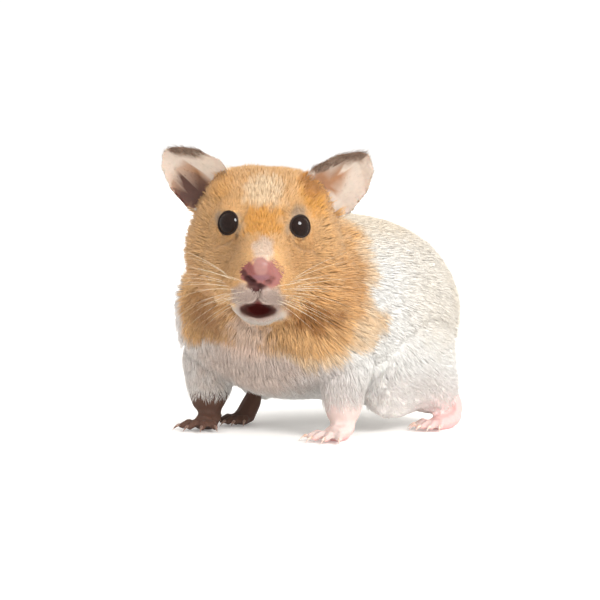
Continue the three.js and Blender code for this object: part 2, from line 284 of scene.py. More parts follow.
def fur_length_mm(points: np.ndarray, label: np.ndarray) -> np.ndarray:
    """Length of the fur: short on the face and feet, longest on neck and body.

    Args:
        points: Places on the skin, in metres.
        label: Number in FLESH of the node each is on.

    Returns:
        Lengths in millimetres.
    """
    local = HEAD.local_mm(points)
    from_nose = np.linalg.norm(local - NOSE_TIP_MM, axis=1)
    length = np.array([FUR_MM.get(name, 0.0) for name in FLESH])[label]
    crown = CROWN_UP(local[:, 2]) * CROWN_BACK(local[:, 1])
    face = FUR_FROM_NOSE_MM(from_nose) * (1.0 - CROWN_CUT * crown)
    length = np.where(on(label, ["head"]), face, length)
    for side in SIDES:
        gap, _ = eye_polar(local, side)
        length = np.minimum(length, FUR_BY_EYE_MM(gap))
    length = np.minimum(length, FUR_BY_MOUTH_MM(MOUTH.spread(local)))
    return length * FUR_BY_GROUND(points[:, 2] / MM)


def fur_rise(label: np.ndarray) -> np.ndarray:
    """Angle in radians at which the fur of each labelled node stands off the skin."""
    return np.radians([FUR_RISE.get(name, FUR_RISE_BODY) for name in FLESH])[label]


# ---------------------------------------------------------------- meshes as arrays


class Surface:
    """A mesh held as arrays while it is shaped."""

    pull_in = 0.55
    push_out = 0.57

    def __init__(self, mesh: bpy.types.Mesh) -> None:
        """Reads the mesh.

        Args:
            mesh: The mesh to shape.
        """
        self.mesh = mesh
        self.points = column_array(mesh.vertices, "co", 3)
        self.edges = column_array(mesh.edges, "vertices", 2, np.int32)
        self.degree = np.bincount(self.edges.ravel(), minlength=len(self.points)).clip(1)

    def write(self) -> None:
        """Puts the points back into the mesh."""
        self.mesh.vertices.foreach_set("co", self.points.astype(np.float32).ravel())
        self.mesh.update()

    def normals(self) -> np.ndarray:
        """Normal of each vertex as the points now stand."""
        self.write()
        return column_array(self.mesh.vertex_normals, "vector", 3)

    def averaged(self, values: np.ndarray) -> np.ndarray:
        """Mean over each vertex's neighbours."""
        columns = values.reshape(len(values), -1)
        start, end = self.edges[:, 0], self.edges[:, 1]
        sums = [
            np.bincount(start, column[end], len(values)) + np.bincount(end, column[start], len(values))
            for column in columns.T
        ]
        return (np.stack(sums, 1) / self.degree[:, None]).reshape(values.shape)

    def blurred(self, values: np.ndarray, rounds: int) -> np.ndarray:
        """Values spread over the surface, rounds times."""
        for _ in range(rounds):
            values = 0.5 * values + 0.5 * self.averaged(values)
        return values

    def relax(self, rounds: int, weight: np.ndarray) -> None:
        """Smooths the surface without shrinking it.

        Args:
            rounds: Number of passes, each one in and one out.
            weight: How far each vertex takes part, 0 to 1.
        """
        share = weight[:, None]
        for _ in range(rounds):
            for step in (self.pull_in, -self.push_out):
                self.points = self.points + step * share * (self.averaged(self.points) - self.points)

    def triangles(self) -> np.ndarray:
        """Vertex numbers of the mesh's triangles."""
        self.mesh.calc_loop_triangles()
        return column_array(self.mesh.loop_triangles, "vertices", 3, np.int32)


def column_array(
    items: bpy.types.bpy_prop_collection, name: str, width: int, kind: type = np.float32
) -> np.ndarray:
    """One property of many items as an array.

    Args:
        items: The mesh's vertices, edges, loops or the like.
        name: The property.
        width: How many numbers each item has.
        kind: The type in which Blender stores them.

    Returns:
        One row an item, with width columns.
    """
    values = np.zeros(len(items) * width, kind)
    items.foreach_get(name, values)
    return values.reshape(-1, width).astype(np.int64 if kind is np.int32 else np.float64)


def attribute(mesh: bpy.types.Mesh, name: str, values: np.ndarray) -> None:
    """Stores one value or one colour a vertex under a name.

    Args:
        mesh: The mesh that carries it.
        name: The attribute's name.
        values: A column of numbers, or rows of red, green and blue.
    """
    if values.ndim == 1:
        mesh.attributes.new(name, "FLOAT", "POINT").data.foreach_set("value", values.astype(np.float32))
        return
    rows = np.ones((len(values), 4), np.float32)
    rows[:, :3] = values
    mesh.attributes.new(name, "FLOAT_COLOR", "POINT").data.foreach_set("color", rows.ravel())


def placed(name: str, mesh: bpy.types.Mesh) -> bpy.types.Object:
    """An object at the origin that holds the mesh."""
    made = bpy.data.objects.new(name, mesh)
    bpy.context.scene.collection.objects.link(made)
    return made


def applied(piece: bpy.types.Object) -> bpy.types.Mesh:
    """The piece's mesh with its modifiers applied; the piece itself is removed."""
    graph = bpy.context.evaluated_depsgraph_get()
    mesh = bpy.data.meshes.new_from_object(piece.evaluated_get(graph))
    old = piece.data
    bpy.data.objects.remove(piece)
    bpy.data.meshes.remove(old)
    return mesh


def smooth_shaded(mesh: bpy.types.Mesh) -> bpy.types.Mesh:
    """Sets every face of the mesh to smooth shading."""
    mesh.polygons.foreach_set("use_smooth", np.ones(len(mesh.polygons), bool))
    return mesh


# ---------------------------------------------------------------- materials


class NodeSheet:
    """A material's node tree, with short calls to add and join nodes."""

    mix_inputs = (0, 6, 7)
    mix_output = 2

    def __init__(self, name: str) -> None:
        """Starts a material with one Principled shader.

        Args:
            name: The material's name.
        """
        self.material = bpy.data.materials.new(name)
        self.material.use_nodes = True
        self.tree = self.material.node_tree
        self.shader = next(n for n in self.tree.nodes if n.type == "BSDF_PRINCIPLED")

    def node(self, kind: str, **settings: object) -> bpy.types.Node:
        """Adds a node and sets its properties."""
        made = self.tree.nodes.new(kind)
        for key, value in settings.items():
            setattr(made, key, value)
        return made

    def join(self, source: bpy.types.NodeSocket, target: bpy.types.NodeSocket) -> None:
        """Links an output to an input."""
        self.tree.links.new(source, target)

    def constants(self, **values: object) -> None:
        """Sets the shader's own sockets; an underscore stands for a space."""
        for key, value in values.items():
            self.shader.inputs[key.replace("_", " ")].default_value = value

    def read(self, name: str, output: str = "Fac") -> bpy.types.NodeSocket:
        """A socket with the piece's attribute of that name."""
        return self.node("ShaderNodeAttribute", attribute_name=name).outputs[output]

    def mixed(
        self, factor: object, first: object, second: object, blend: str = "MIX"
    ) -> bpy.types.NodeSocket:
        """Colour mix of two sockets or colours.

        Args:
            factor: Socket or number.
            first: Socket or colour for a factor of 0.
            second: Socket or colour for a factor of 1.
            blend: The mix's blend type.

        Returns:
            The mixed colour's socket.
        """
        mix = self.node("ShaderNodeMix", data_type="RGBA", blend_type=blend)
        sockets = [mix.inputs[number] for number in self.mix_inputs]
        for socket, value in zip(sockets, (factor, first, second)):
            if isinstance(value, bpy.types.NodeSocket):
                self.join(value, socket)
            elif isinstance(value, (int, float)):
                socket.default_value = value
            else:
                socket.default_value = (*value, 1.0)
        return mix.outputs[self.mix_output]

    def noise(self, scale: float, detail: float = 3.0) -> bpy.types.NodeSocket:
        """Noise on object coordinates, scale in waves a metre."""
        place = self.node("ShaderNodeTexCoord").outputs["Object"]
        made = self.node("ShaderNodeTexNoise")
        made.inputs["Scale"].default_value = scale
        made.inputs["Detail"].default_value = detail
        self.join(place, made.inputs["Vector"])
        return made.outputs["Fac"]

    def ramp(
        self, value: bpy.types.NodeSocket, low: float, high: float, out_low: float, out_high: float
    ) -> bpy.types.NodeSocket:
        """Value mapped from low..high to out_low..out_high."""
        made = self.node("ShaderNodeMapRange")
        for index, number in enumerate((low, high, out_low, out_high), 1):
            made.inputs[index].default_value = number
        self.join(value, made.inputs[0])
        return made.outputs[0]

    def blotches(
        self,
        scale: float,
        out: tuple[float, float] = (0.0, 1.0),
        detail: float = 3.0,
        within: tuple[float, float] = (0.3, 0.7),
    ) -> bpy.types.NodeSocket:
        """Noise with its middle range stretched.

        Args:
            scale: Waves a metre.
            out: The values it takes.
            detail: The noise's detail.
            within: The range of the noise that is stretched.

        Returns:
            The socket.
        """
        return self.ramp(self.noise(scale, detail), *within, *out)

    def bump(self, height: bpy.types.NodeSocket, strength: float, distance: float) -> None:
        """Raises the shader's surface by height times distance."""
        made = self.node("ShaderNodeBump")
        made.inputs["Strength"].default_value = strength
        made.inputs["Distance"].default_value = distance
        self.join(height, made.inputs["Height"])
        self.join(made.outputs["Normal"], self.shader.inputs["Normal"])


@dataclass(frozen=True)
class FurFinish:
    """Tufts: the marking's colour, darker at the root, with a soft broken sheen."""

    name: str
    root_shade: float
    shade_ends: float = 0.75
    roughness: float = 0.7
    sheen: float = 0.1
    specular: float = 0.3
    grain: float = 900.0
    flecks: tuple[float, float] = (0.95, 1.04)

    def material(self) -> bpy.types.Material:
        """Makes the material."""
        sheet = NodeSheet(self.name)
        marking = sheet.read("marking", "Color")
        root = sheet.ramp(sheet.read("along"), 0.0, self.shade_ends, self.root_shade, 1.0)
        shaded = sheet.mixed(1.0, marking, root, "MULTIPLY")
        lifted = sheet.mixed(1.0, shaded, sheet.read("shade"), "MULTIPLY")
        flecked = sheet.mixed(1.0, lifted, sheet.blotches(self.grain, self.flecks), "MULTIPLY")
        sheet.join(flecked, sheet.shader.inputs["Base Color"])
        sheet.constants(
            Roughness=self.roughness, Sheen_Weight=self.sheen, Specular_IOR_Level=self.specular
        )
        return sheet.material


@dataclass(frozen=True)
class SkinFinish:
    """Skin: the marking's colour with pores, fine down and a moist look where it is bare."""

    name: str = "hamster_skin"
    pores: float = 2600.0
    pore_detail: float = 2.0
    pore_strength: float = 0.35
    pore_depth: float = 0.00012
    down: float = 900.0
    down_detail: float = 4.0
    mottling: tuple[float, float] = (0.94, 1.05)
    dry_and_wet: tuple[float, float] = (0.68, 0.38)
    scatter: float = 0.12
    scatter_depth: float = 0.0012
    specular: float = 0.4

    def material(self) -> bpy.types.Material:
        """Makes the material."""
        sheet = NodeSheet(self.name)
        marking = sheet.read("marking", "Color")
        mottled = sheet.blotches(self.down, self.mottling, self.down_detail)
        sheet.join(sheet.mixed(1.0, marking, mottled, "MULTIPLY"), sheet.shader.inputs["Base Color"])
        sheet.join(
            sheet.ramp(sheet.read("wet"), 0.0, 1.0, *self.dry_and_wet), sheet.shader.inputs["Roughness"]
        )
        sheet.constants(
            Subsurface_Weight=self.scatter,
            Subsurface_Scale=self.scatter_depth,
            Specular_IOR_Level=self.specular,
        )
        sheet.bump(sheet.noise(self.pores, self.pore_detail), self.pore_strength, self.pore_depth)
        return sheet.material


@dataclass(frozen=True)
class EyeFinish:
    """Eyes: nearly black, with a clear wet coat."""

    name: str = "hamster_eye"
    dark: str = "1d0f09"
    brown: str = "251510"
    grain: float = 700.0
    roughness: float = 0.5
    wet_roughness: float = 0.05
    specular: float = 0.05

    def material(self) -> bpy.types.Material:
        """Makes the material."""
        sheet = NodeSheet(self.name)
        depth = sheet.blotches(self.grain, within=(0.35, 0.7))
        tone = sheet.mixed(depth, colour(self.dark), colour(self.brown))
        sheet.join(tone, sheet.shader.inputs["Base Color"])
        sheet.constants(
            Roughness=self.roughness,
            Coat_Weight=1.0,
            Coat_Roughness=self.wet_roughness,
            Specular_IOR_Level=self.specular,
        )
        return sheet.material


@dataclass(frozen=True)
class HornFinish:
    """Claws and whiskers: horn, a little darker in streaks."""

    name: str
    pale: str
    dark: str
    roughness: float = 0.4
    streaks: float = 1500.0
    scatter: float = 0.1
    scatter_depth: float = 0.0005

    def material(self) -> bpy.types.Material:
        """Makes the material."""
        sheet = NodeSheet(self.name)
        streak = sheet.blotches(self.streaks, within=(0.35, 0.65))
        tone = sheet.mixed(streak, colour(self.pale), colour(self.dark))
        sheet.join(tone, sheet.shader.inputs["Base Color"])
        sheet.constants(
            Roughness=self.roughness,
            Subsurface_Weight=self.scatter,
            Subsurface_Scale=self.scatter_depth,
        )
        return sheet.material


# ---------------------------------------------------------------- markings


class Space(Enum):
    """Which frame a patch's centre is given in."""

    HEAD = "head"
    MODEL = "model"


@dataclass(frozen=True)
class Patch:
    """One soft-edged ellipsoid of colour."""

    tint: Tint
    centre_mm: tuple[float, float, float]
    radii_mm: tuple[float, float, float]
    space: Space = Space.HEAD
    edge: float = 0.35
    ragged: float = 0.15
    strength: float = 1.0
    wave_mm: float = 3.2

    @property
    def seed(self) -> int:
        """Number that gives each patch a ragged edge of its own."""
        return int(sum(abs(c) for c in self.centre_mm) * 10)

    def weight(self, head_mm: np.ndarray, model_mm: np.ndarray) -> np.ndarray:
        """How much of the patch's colour each place takes.

        Args:
            head_mm: Places in the head's frame.
            model_mm: The same places in the model's frame.

        Returns:
            0 to strength for each place.
        """
        places = head_mm if self.space is Space.HEAD else model_mm
        reach = reach_in(places, self.centre_mm, self.radii_mm)
        reach = reach + self.ragged * ripple(places, self.wave_mm, self.seed)
        return self.strength * (1.0 - smooth_step(1.0 - self.edge, 1.0 + self.edge, reach))


@dataclass(frozen=True)
class Mouth:
    """The open mouth: an oval hollow between upper lip and jaw."""

    centre_mm: tuple[float, float, float] = (-0.4, -14.3, -15.8)
    out: tuple[float, float, float] = (0.0, -0.902, 0.431)
    up: tuple[float, float, float] = (0.0, 0.431, 0.902)
    half_width_mm: float = 4.2
    upper_mm: float = 1.35
    peak_mm: float = 0.85
    peak_width_mm: float = 0.9
    lower_mm: float = 2.05
    roundness: float = 1.5
    within_mm: float = 13.0
    far: float = 9.0
    depth_mm: float = 3.0
    hollow: Ease = Ease(1.12, 0.72)
    pout_mm: float = 0.3
    pout_at: float = 1.35
    pout_width: float = 0.25

    def spread(self, local: np.ndarray) -> np.ndarray:
        """How far each place is from the mouth's middle: 1 on the lips, and self.far off the face."""
        offset = local - np.array(self.centre_mm)
        sideways, upwards = offset[:, 0], offset @ np.array(self.up)
        upper = self.upper_mm + self.peak_mm * np.exp(-((sideways / self.peak_width_mm) ** 2))
        height = np.where(upwards > 0.0, upper, self.lower_mm)
        across = np.abs(sideways / self.half_width_mm) ** self.roundness
        reach = np.sqrt(across + (upwards / height) ** 2)
        return np.where(np.abs(offset @ np.array(self.out)) < self.within_mm, reach, self.far)

    def opened(self, local: np.ndarray) -> np.ndarray:
        """The places, pushed in between the lips and out a little on them."""
        reach = self.spread(local)
        move = self.pout_mm * np.exp(-(((reach - self.pout_at) / self.pout_width) ** 2))
        move = move - self.depth_mm * self.hollow(reach)
        return local + np.outer(move, self.out)


MOUTH = Mouth()


@dataclass
class EarRims:
    """The upper rims of the ears, where a fringe of darker fur grows."""

    band_mm: float = 3.6
    soft_mm: float = 0.9
    ragged_mm: float = 0.45
    wave_mm: float = 2.2
    seed: int = 31
    starts_mm: tuple[float, float] = (12.5, 18.0)
    ends_mm: float = 22.0
    foot_mm: tuple[float, float] = (12.7, 8.5)
    climb: float = 0.3
    edgeways: float = 0.5

    def __post_init__(self) -> None:
        """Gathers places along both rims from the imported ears."""
        places = []
        for name, inner in zip(EARS, self.starts_mm):
            ear = bmesh.new()
            ear.from_mesh(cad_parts[name].data)
            bmesh.ops.remove_doubles(ear, verts=ear.verts, dist=WELD)
            bmesh.ops.subdivide_edges(ear, edges=ear.edges, cuts=2)
            ear.normal_update()
            local = HEAD.local_mm(np.array([v.co for v in ear.verts]))
            ahead = np.abs(np.array([v.normal for v in ear.verts]) @ HEAD.turn[:, 1])
            ear.free()
            out = np.abs(local[:, 0])
            upper = local[:, 2] > self.foot_mm[1] + self.climb * (out - self.foot_mm[0])
            rim = (ahead < self.edgeways) & upper & (out > inner) & (out < self.ends_mm)
            places.append(local[rim])
        places = np.concatenate(places)
        self.tree = KDTree(len(places))
        for index, place in enumerate(places):
            self.tree.insert(place, index)
        self.tree.balance()

    def nearness(self, local: np.ndarray, where: np.ndarray) -> np.ndarray:
        """How near the rim each place is.

        Args:
            local: Places in the head's frame.
            where: Which of them to look at; the others get 0.

        Returns:
            0 to 1 for each place.
        """
        near = np.zeros(len(local))
        gaps = np.array([self.tree.find(place)[2] for place in local[where].tolist()])
        ragged = self.ragged_mm * ripple(local[where], self.wave_mm, self.seed)
        near[where] = smooth_step(self.band_mm, self.band_mm - self.soft_mm, gaps + ragged)
        return near


@dataclass(frozen=True)
class NeckPush:
    """A place where the golden coat reaches further back over the body, or less far."""

    centre_mm: tuple[float, float, float]
    radii_mm: tuple[float, float, float]
    push_mm: float
    fade: Ease = Ease(1.45, 0.5)

    def at(self, model_mm: np.ndarray) -> np.ndarray:
        """How far it moves the edge at each place."""
        return self.push_mm * self.fade(reach_in(model_mm, self.centre_mm, self.radii_mm))


@dataclass(frozen=True)
class EyeRing:
    """Patchy grey fur round an eye."""

    edge: Ease = Ease(EYE_OPENING + 30.0, EYE_OPENING + 8.0)
    within_mm: float = 6.0
    strength: float = 0.6
    patches: tuple[float, float] = (0.25, 0.9)
    wave_mm: float = 3.0
    seed: int = 40

    def weight(self, head_mm: np.ndarray, side: int) -> np.ndarray:
        """How grey each place is, for the eye on one side."""
        gap, angle = eye_polar(head_mm, side)
        even, uneven = self.patches
        patchy = even + uneven * ripple(head_mm, self.wave_mm, self.seed + side)
        return self.strength * np.clip(patchy, 0.0, 1.0) * (self.edge(angle) * (gap < self.within_mm))


@dataclass
class Markings:
    """Colour of skin and coat as a function of place, the same for both."""

    mouth: Mouth = MOUTH
    rims: EarRims = field(default_factory=EarRims)
    eye_ring: EyeRing = EyeRing()
    neck_normal: tuple[float, float, float] = (0.16, -0.88, 0.45)
    neck_point_mm: tuple[float, float, float] = (-2.1, -13.8, 38.0)
    neck_pushes: tuple[NeckPush, ...] = (
        NeckPush((25, -3, 25), (9, 10, 8), 8.0),
        NeckPush((9, 2, 54), (11, 9, 9), 5.5),
        NeckPush((20, -6, 45), (9, 9, 8), 2.5),
        NeckPush((-5, -28, 17), (16, 9, 7.5), -12.0),
        NeckPush((-31, -22, 30), (8, 8, 12), -10.0),
    )
    neck_waves: tuple[tuple[float, float, int], ...] = ((1.3, 7.0, 5), (0.8, 2.6, 6))
    edge_mm: float = 1.6
    pale_edge: Ease = Ease(4.5, 1.5)
    pale_side: Ease = Ease(4.0, 12.0)
    ear_back_grey: float = 0.45
    patches: list[Patch] = field(default_factory=lambda: [
        Patch(Tint.CREAM, (0, 14, 58), (26, 34, 16), Space.MODEL, 0.5),
        Patch(Tint.CREAM, (6, 42, 36), (28, 18, 26), Space.MODEL, 0.5, strength=0.9),
        # Painted shade: grey-beige chest fur where the head shades it.
        Patch(Tint.PAINTED_CHEST_SHADE, (-2, -28, 16), (21, 12, 13), Space.MODEL, 0.5, strength=0.9),
        Patch(Tint.THROAT, (1, -31, 24), (9, 6, 4.5), Space.MODEL, 0.5),
        Patch(Tint.THROAT, (16, -23, 18), (7, 6, 4.5), Space.MODEL, 0.5, strength=0.8),
        # Painted shade: warm grey on the right shoulder, low on the left foreleg and along the bottom of
        # the left flank.
        Patch(Tint.PAINTED_SHADE_GREY, (-28, -20, 28), (8, 12, 16), Space.MODEL, 0.5),
        Patch(Tint.PAINTED_SHADE_GREY, (19, -22, 12), (9, 10, 9), Space.MODEL, 0.5),
        Patch(Tint.PAINTED_SHADE_GREY, (26, 6, 8), (12, 26, 7), Space.MODEL, 0.5, strength=0.75),
        Patch(Tint.CREAM, (27, 20, 36), (9, 15, 15), Space.MODEL, 0.5, strength=0.45),
    ])
    face: list[Patch] = field(default_factory=lambda: [
        # Painted shade: the tan patches in this list darken the right cheek, the underside of the jaw and
        # the right side of the nose.
        Patch(Tint.PAINTED_SHADE_TAN, (-15, 3, -8), (9, 14, 10), edge=0.7, strength=0.28),
        Patch(Tint.PAINTED_SHADE_TAN, (-13, 5, -30), (10, 9, 7), edge=0.6, strength=0.5),
        Patch(Tint.PAINTED_SHADE_TAN, (4.5, -8, -27), (4.5, 6, 6), edge=0.6, strength=0.5),
        Patch(Tint.DEEP_GOLD, (10, -6, -5), (7, 6, 6), edge=0.8, strength=0.3),
        Patch(Tint.DEEP_GOLD, (19, 4, -16), (9, 12, 6), edge=0.6, strength=0.55),
        Patch(Tint.OCHRE, (12.5, -10, -20.5), (8, 6, 3.6), edge=0.5, ragged=0.4, strength=0.8),
        # Painted shade: darker tan just right of the nose.
        Patch(Tint.PAINTED_SHADE_TAN, (-7, -12, -4), (4.5, 8, 6.5), edge=0.7, strength=0.45),
        Patch(Tint.THROAT_TAN, (1.5, -32, 26), (5.5, 7, 6.0), Space.MODEL, edge=0.6, ragged=0.3),
        Patch(Tint.OCHRE, (-15, 5, -27), (7, 9, 4), edge=0.6, ragged=0.4, strength=0.6),
        Patch(Tint.DEEP_GOLD, (-14, 4, -18), (7, 10, 6), edge=0.6, strength=0.5),
        Patch(Tint.FOREHEAD, (-0.5, 0.5, 9), (4.9, 6, 4.7), edge=0.4, ragged=0.25),
        Patch(Tint.ORANGE, (-0.3, -7.2, 4.2), (5.2, 5, 3.9), edge=0.25, ragged=0.35),
        Patch(Tint.ORANGE, (12.0, 7.0, 6.0), (4.6, 7, 5.8), edge=0.3, ragged=0.25),
        Patch(Tint.DEEP_GOLD, (11.0, 8.4, 8.4), (3.2, 5, 3.8), edge=0.3, ragged=0.25, strength=0.85),
        Patch(Tint.ORANGE, (-11.4, 6.5, 7.4), (3.2, 5, 3.8), edge=0.3, ragged=0.25, strength=0.45),
        Patch(Tint.BRIDGE, (0.3, -14.5, -0.2), (2.5, 4, 3.6), edge=0.35),
        Patch(Tint.LIP, (-0.4, -16, -11.6), (6.4, 9, 4.6), edge=0.2, ragged=0.12),
        Patch(Tint.LIP, (-0.4, -14, -15.8), (7.4, 9, 5.2), edge=0.2, ragged=0.12),
        Patch(Tint.CHIN, (-0.4, -9, -19.8), (7.2, 8, 2.6), edge=0.3, ragged=0.1),
        Patch(Tint.LID_GREY, (8.0, -1.0, 4.1), (2.0, 3, 1.5), edge=0.4, ragged=0.2, strength=0.75),
        Patch(Tint.LID_GREY, (6.1, -6.0, 1.6), (1.0, 2.2, 1.3), edge=0.5, ragged=0.2, strength=0.6),
        Patch(Tint.LID_GREY, (-11.2, 0.2, 1.0), (1.0, 2.5, 1.8), edge=0.5, ragged=0.2, strength=0.8),
    ])
    bare: list[Patch] = field(default_factory=lambda: [
        Patch(Tint.PAW_PAD, (29, 21, 4), (7, 12, 5), Space.MODEL, edge=0.6, strength=0.55),
        Patch(Tint.LIP_RIM, (-0.4, -13.0, -17.4), (6.0, 9.0, 3.2), edge=0.35, ragged=0.1, strength=0.9),
        Patch(Tint.NOSE, (0.0, -18.2, -4.8), (3.4, 3.6, 3.6), edge=0.2, ragged=0.08),
        # Painted shade: the nose's right wing darker than its left.
        Patch(Tint.NOSE_PAINTED_SHADE, (-3.0, -17.6, -4.6), (2.2, 3.6, 2.5), edge=0.2, ragged=0.12),
        Patch(Tint.NOSE, (3.0, -17.6, -4.9), (2.9, 3.6, 3.4), edge=0.2, ragged=0.12),
        # Painted light: a paler strip down the top of the nose.
        Patch(Tint.NOSE_PAINTED_LIGHT, (0.05, -19.0, -1.8), (1.6, 2.6, 3.3), edge=0.2, ragged=0.08),
        Patch(Tint.NOSE_MAUVE, (0.2, -19.0, -5.5), (2.2, 2.0, 1.0), edge=0.4, ragged=0.1, strength=0.8),
        # Painted shade: dark in the nostrils, the notch under the nose and the cleft down to the mouth.
        Patch(Tint.NOSTRIL_PAINTED_SHADE, (-3.9, -17.6, -5.0), (0.9, 1.6, 0.8), edge=0.4, ragged=0.0, strength=0.85),
        Patch(Tint.NOSTRIL_PAINTED_SHADE, (-2.8, -18.2, -6.1), (1.1, 1.8, 0.95), edge=0.35, ragged=0.0),
        Patch(Tint.NOSTRIL_PAINTED_SHADE, (-1.9, -18.4, -6.9), (1.2, 1.8, 1.0), edge=0.35, ragged=0.0),
        Patch(Tint.NOSTRIL_PAINTED_SHADE, (1.9, -18.4, -6.8), (1.0, 1.6, 0.6), edge=0.4, ragged=0.0, strength=0.5),
        Patch(Tint.NOSTRIL_PAINTED_SHADE, (-0.9, -18.2, -8.0), (2.4, 2.0, 1.0), edge=0.35, ragged=0.0, strength=0.9),
        Patch(Tint.NOSTRIL_PAINTED_SHADE, (-0.7, -18.0, -9.2), (1.2, 2.0, 1.2), edge=0.35, ragged=0.0),
        Patch(Tint.NOSTRIL_PAINTED_SHADE, (-0.4, -17.8, -11.2), (0.35, 2.4, 2.4), edge=0.5, ragged=0.0, strength=0.75),
    ])
    hollows: list[Patch] = field(default_factory=lambda: [
        Patch(Tint.EAR_GREY, (-13.2, 13.5, 11.0), (3.4, 9.0, 3.4), edge=0.3),
        Patch(Tint.EAR_ROSE, (15.4, 14.6, 6.2), (4.3, 12.0, 3.0), edge=0.18),
        # Painted shade: brown edging round dark in the hollow of the right ear.
        Patch(Tint.EAR_HOLLOW_SHADE_EDGE, (-18.8, 15.0, 2.8), (5.2, 12.0, 5.4), edge=0.15, ragged=0.15),
        Patch(Tint.EAR_HOLLOW_SHADE, (-19.0, 15.0, 1.9), (4.3, 12.0, 4.6), edge=0.2, ragged=0.12),
    ])

    def gold_mm(self, model_mm: np.ndarray) -> np.ndarray:
        """Distance of each place inside the golden coat of head and neck; outside it is negative."""
        ahead = (model_mm - np.array(self.neck_point_mm)) @ np.array(self.neck_normal)
        for height, wave_mm, seed in self.neck_waves:
            ahead = ahead + height * ripple(model_mm, wave_mm, seed)
        for push in self.neck_pushes:
            ahead = ahead + push.at(model_mm)
        return ahead

    def coat(self, points: np.ndarray) -> np.ndarray:
        """Colour of the fur at each place.

        Args:
            points: Places in the model's frame, in metres.

        Returns:
            Linear red, green and blue, one row a place.
        """
        model_mm, head_mm = points / MM, HEAD.local_mm(points)
        tone = np.tile(Tint.WHITE.linear, (len(points), 1))
        for patch in self.patches:
            tone = blended(tone, patch.tint.linear, patch.weight(head_mm, model_mm))
        inside = self.gold_mm(model_mm)
        gold = smooth_step(-self.edge_mm, self.edge_mm, inside)
        golden = np.tile(Tint.GOLD.linear, (len(points), 1))
        for patch in self.face:
            golden = blended(golden, patch.tint.linear, patch.weight(head_mm, model_mm))
        pale_edge = self.pale_edge(inside) * self.pale_side(model_mm[:, 0])
        golden = blended(golden, Tint.EDGE_GOLD.linear, pale_edge)
        tone = tone + (golden - tone) * gold[:, None]
        for side in SIDES:
            tone = blended(tone, Tint.LID_GREY.linear, self.eye_ring.weight(head_mm, side))
        return tone

    def ears(self, tone: np.ndarray, local: np.ndarray, where: np.ndarray) -> np.ndarray:
        """Colours the ears: pale, with the rosy hollow of the left, and painted shade, brown round dark, in
        the hollow of the right.

        Args:
            tone: Colours so far.
            local: The places in the head's frame.
            where: How much of the ears' colours each takes, 0 to 1.

        Returns:
            The new colours.
        """
        tone = blended(tone, Tint.EAR_PALE.linear, where)
        for patch in self.hollows:
            tone = blended(tone, patch.tint.linear, where * patch.weight(local, local))
        return tone

    def tufts(self, growth: "Growth", middle: np.ndarray) -> np.ndarray:
        """Colour of each tuft: the coat's markings, and the ears' own.

        Args:
            growth: The roots.
            middle: The middle of each tuft, which carries the colour.

        Returns:
            Linear red, green and blue, one row a tuft.
        """
        local = HEAD.local_mm(growth.root)
        tone = self.coat(middle)
        ears = on(growth.label, EARS)
        front = growth.normal @ HEAD.turn[:, 1] < 0.0
        rim = self.rims.nearness(local, ears)
        tone = self.ears(tone, local, (ears & front).astype(float))
        tone = blended(tone, Tint.EAR_GREY.linear, (ears & ~front).astype(float))
        fringe = np.maximum(rim, self.ear_back_grey * (ears & ~front))
        return blended(tone, Tint.EAR_FRINGE.linear, fringe)


def blended(tone: np.ndarray, over: np.ndarray, weight: np.ndarray) -> np.ndarray:
    """The rows of tone, moved towards the colour over by weight."""
    return tone + (over - tone) * weight[:, None]


# ---------------------------------------------------------------- the skin


@dataclass(frozen=True)
class Press:
    """One soft push on the head's skin, made on both sides where it is off the middle."""

    centre_mm: tuple[float, float, float]
    radii_mm: tuple[float, float, float]
    push_mm: tuple[float, float, float]

    def applied(self, local: np.ndarray) -> np.ndarray:
        """The places in the head's frame, moved."""
        for side in SIDES if self.centre_mm[0] else SIDES[:1]:
            mirror = np.array([side, 1.0, 1.0])
            reach = (local - np.array(self.centre_mm) * mirror) / np.array(self.radii_mm)
            fall = np.exp(-(reach * reach).sum(1))
            local = local + np.outer(fall, np.array(self.push_mm) * mirror)
        return local


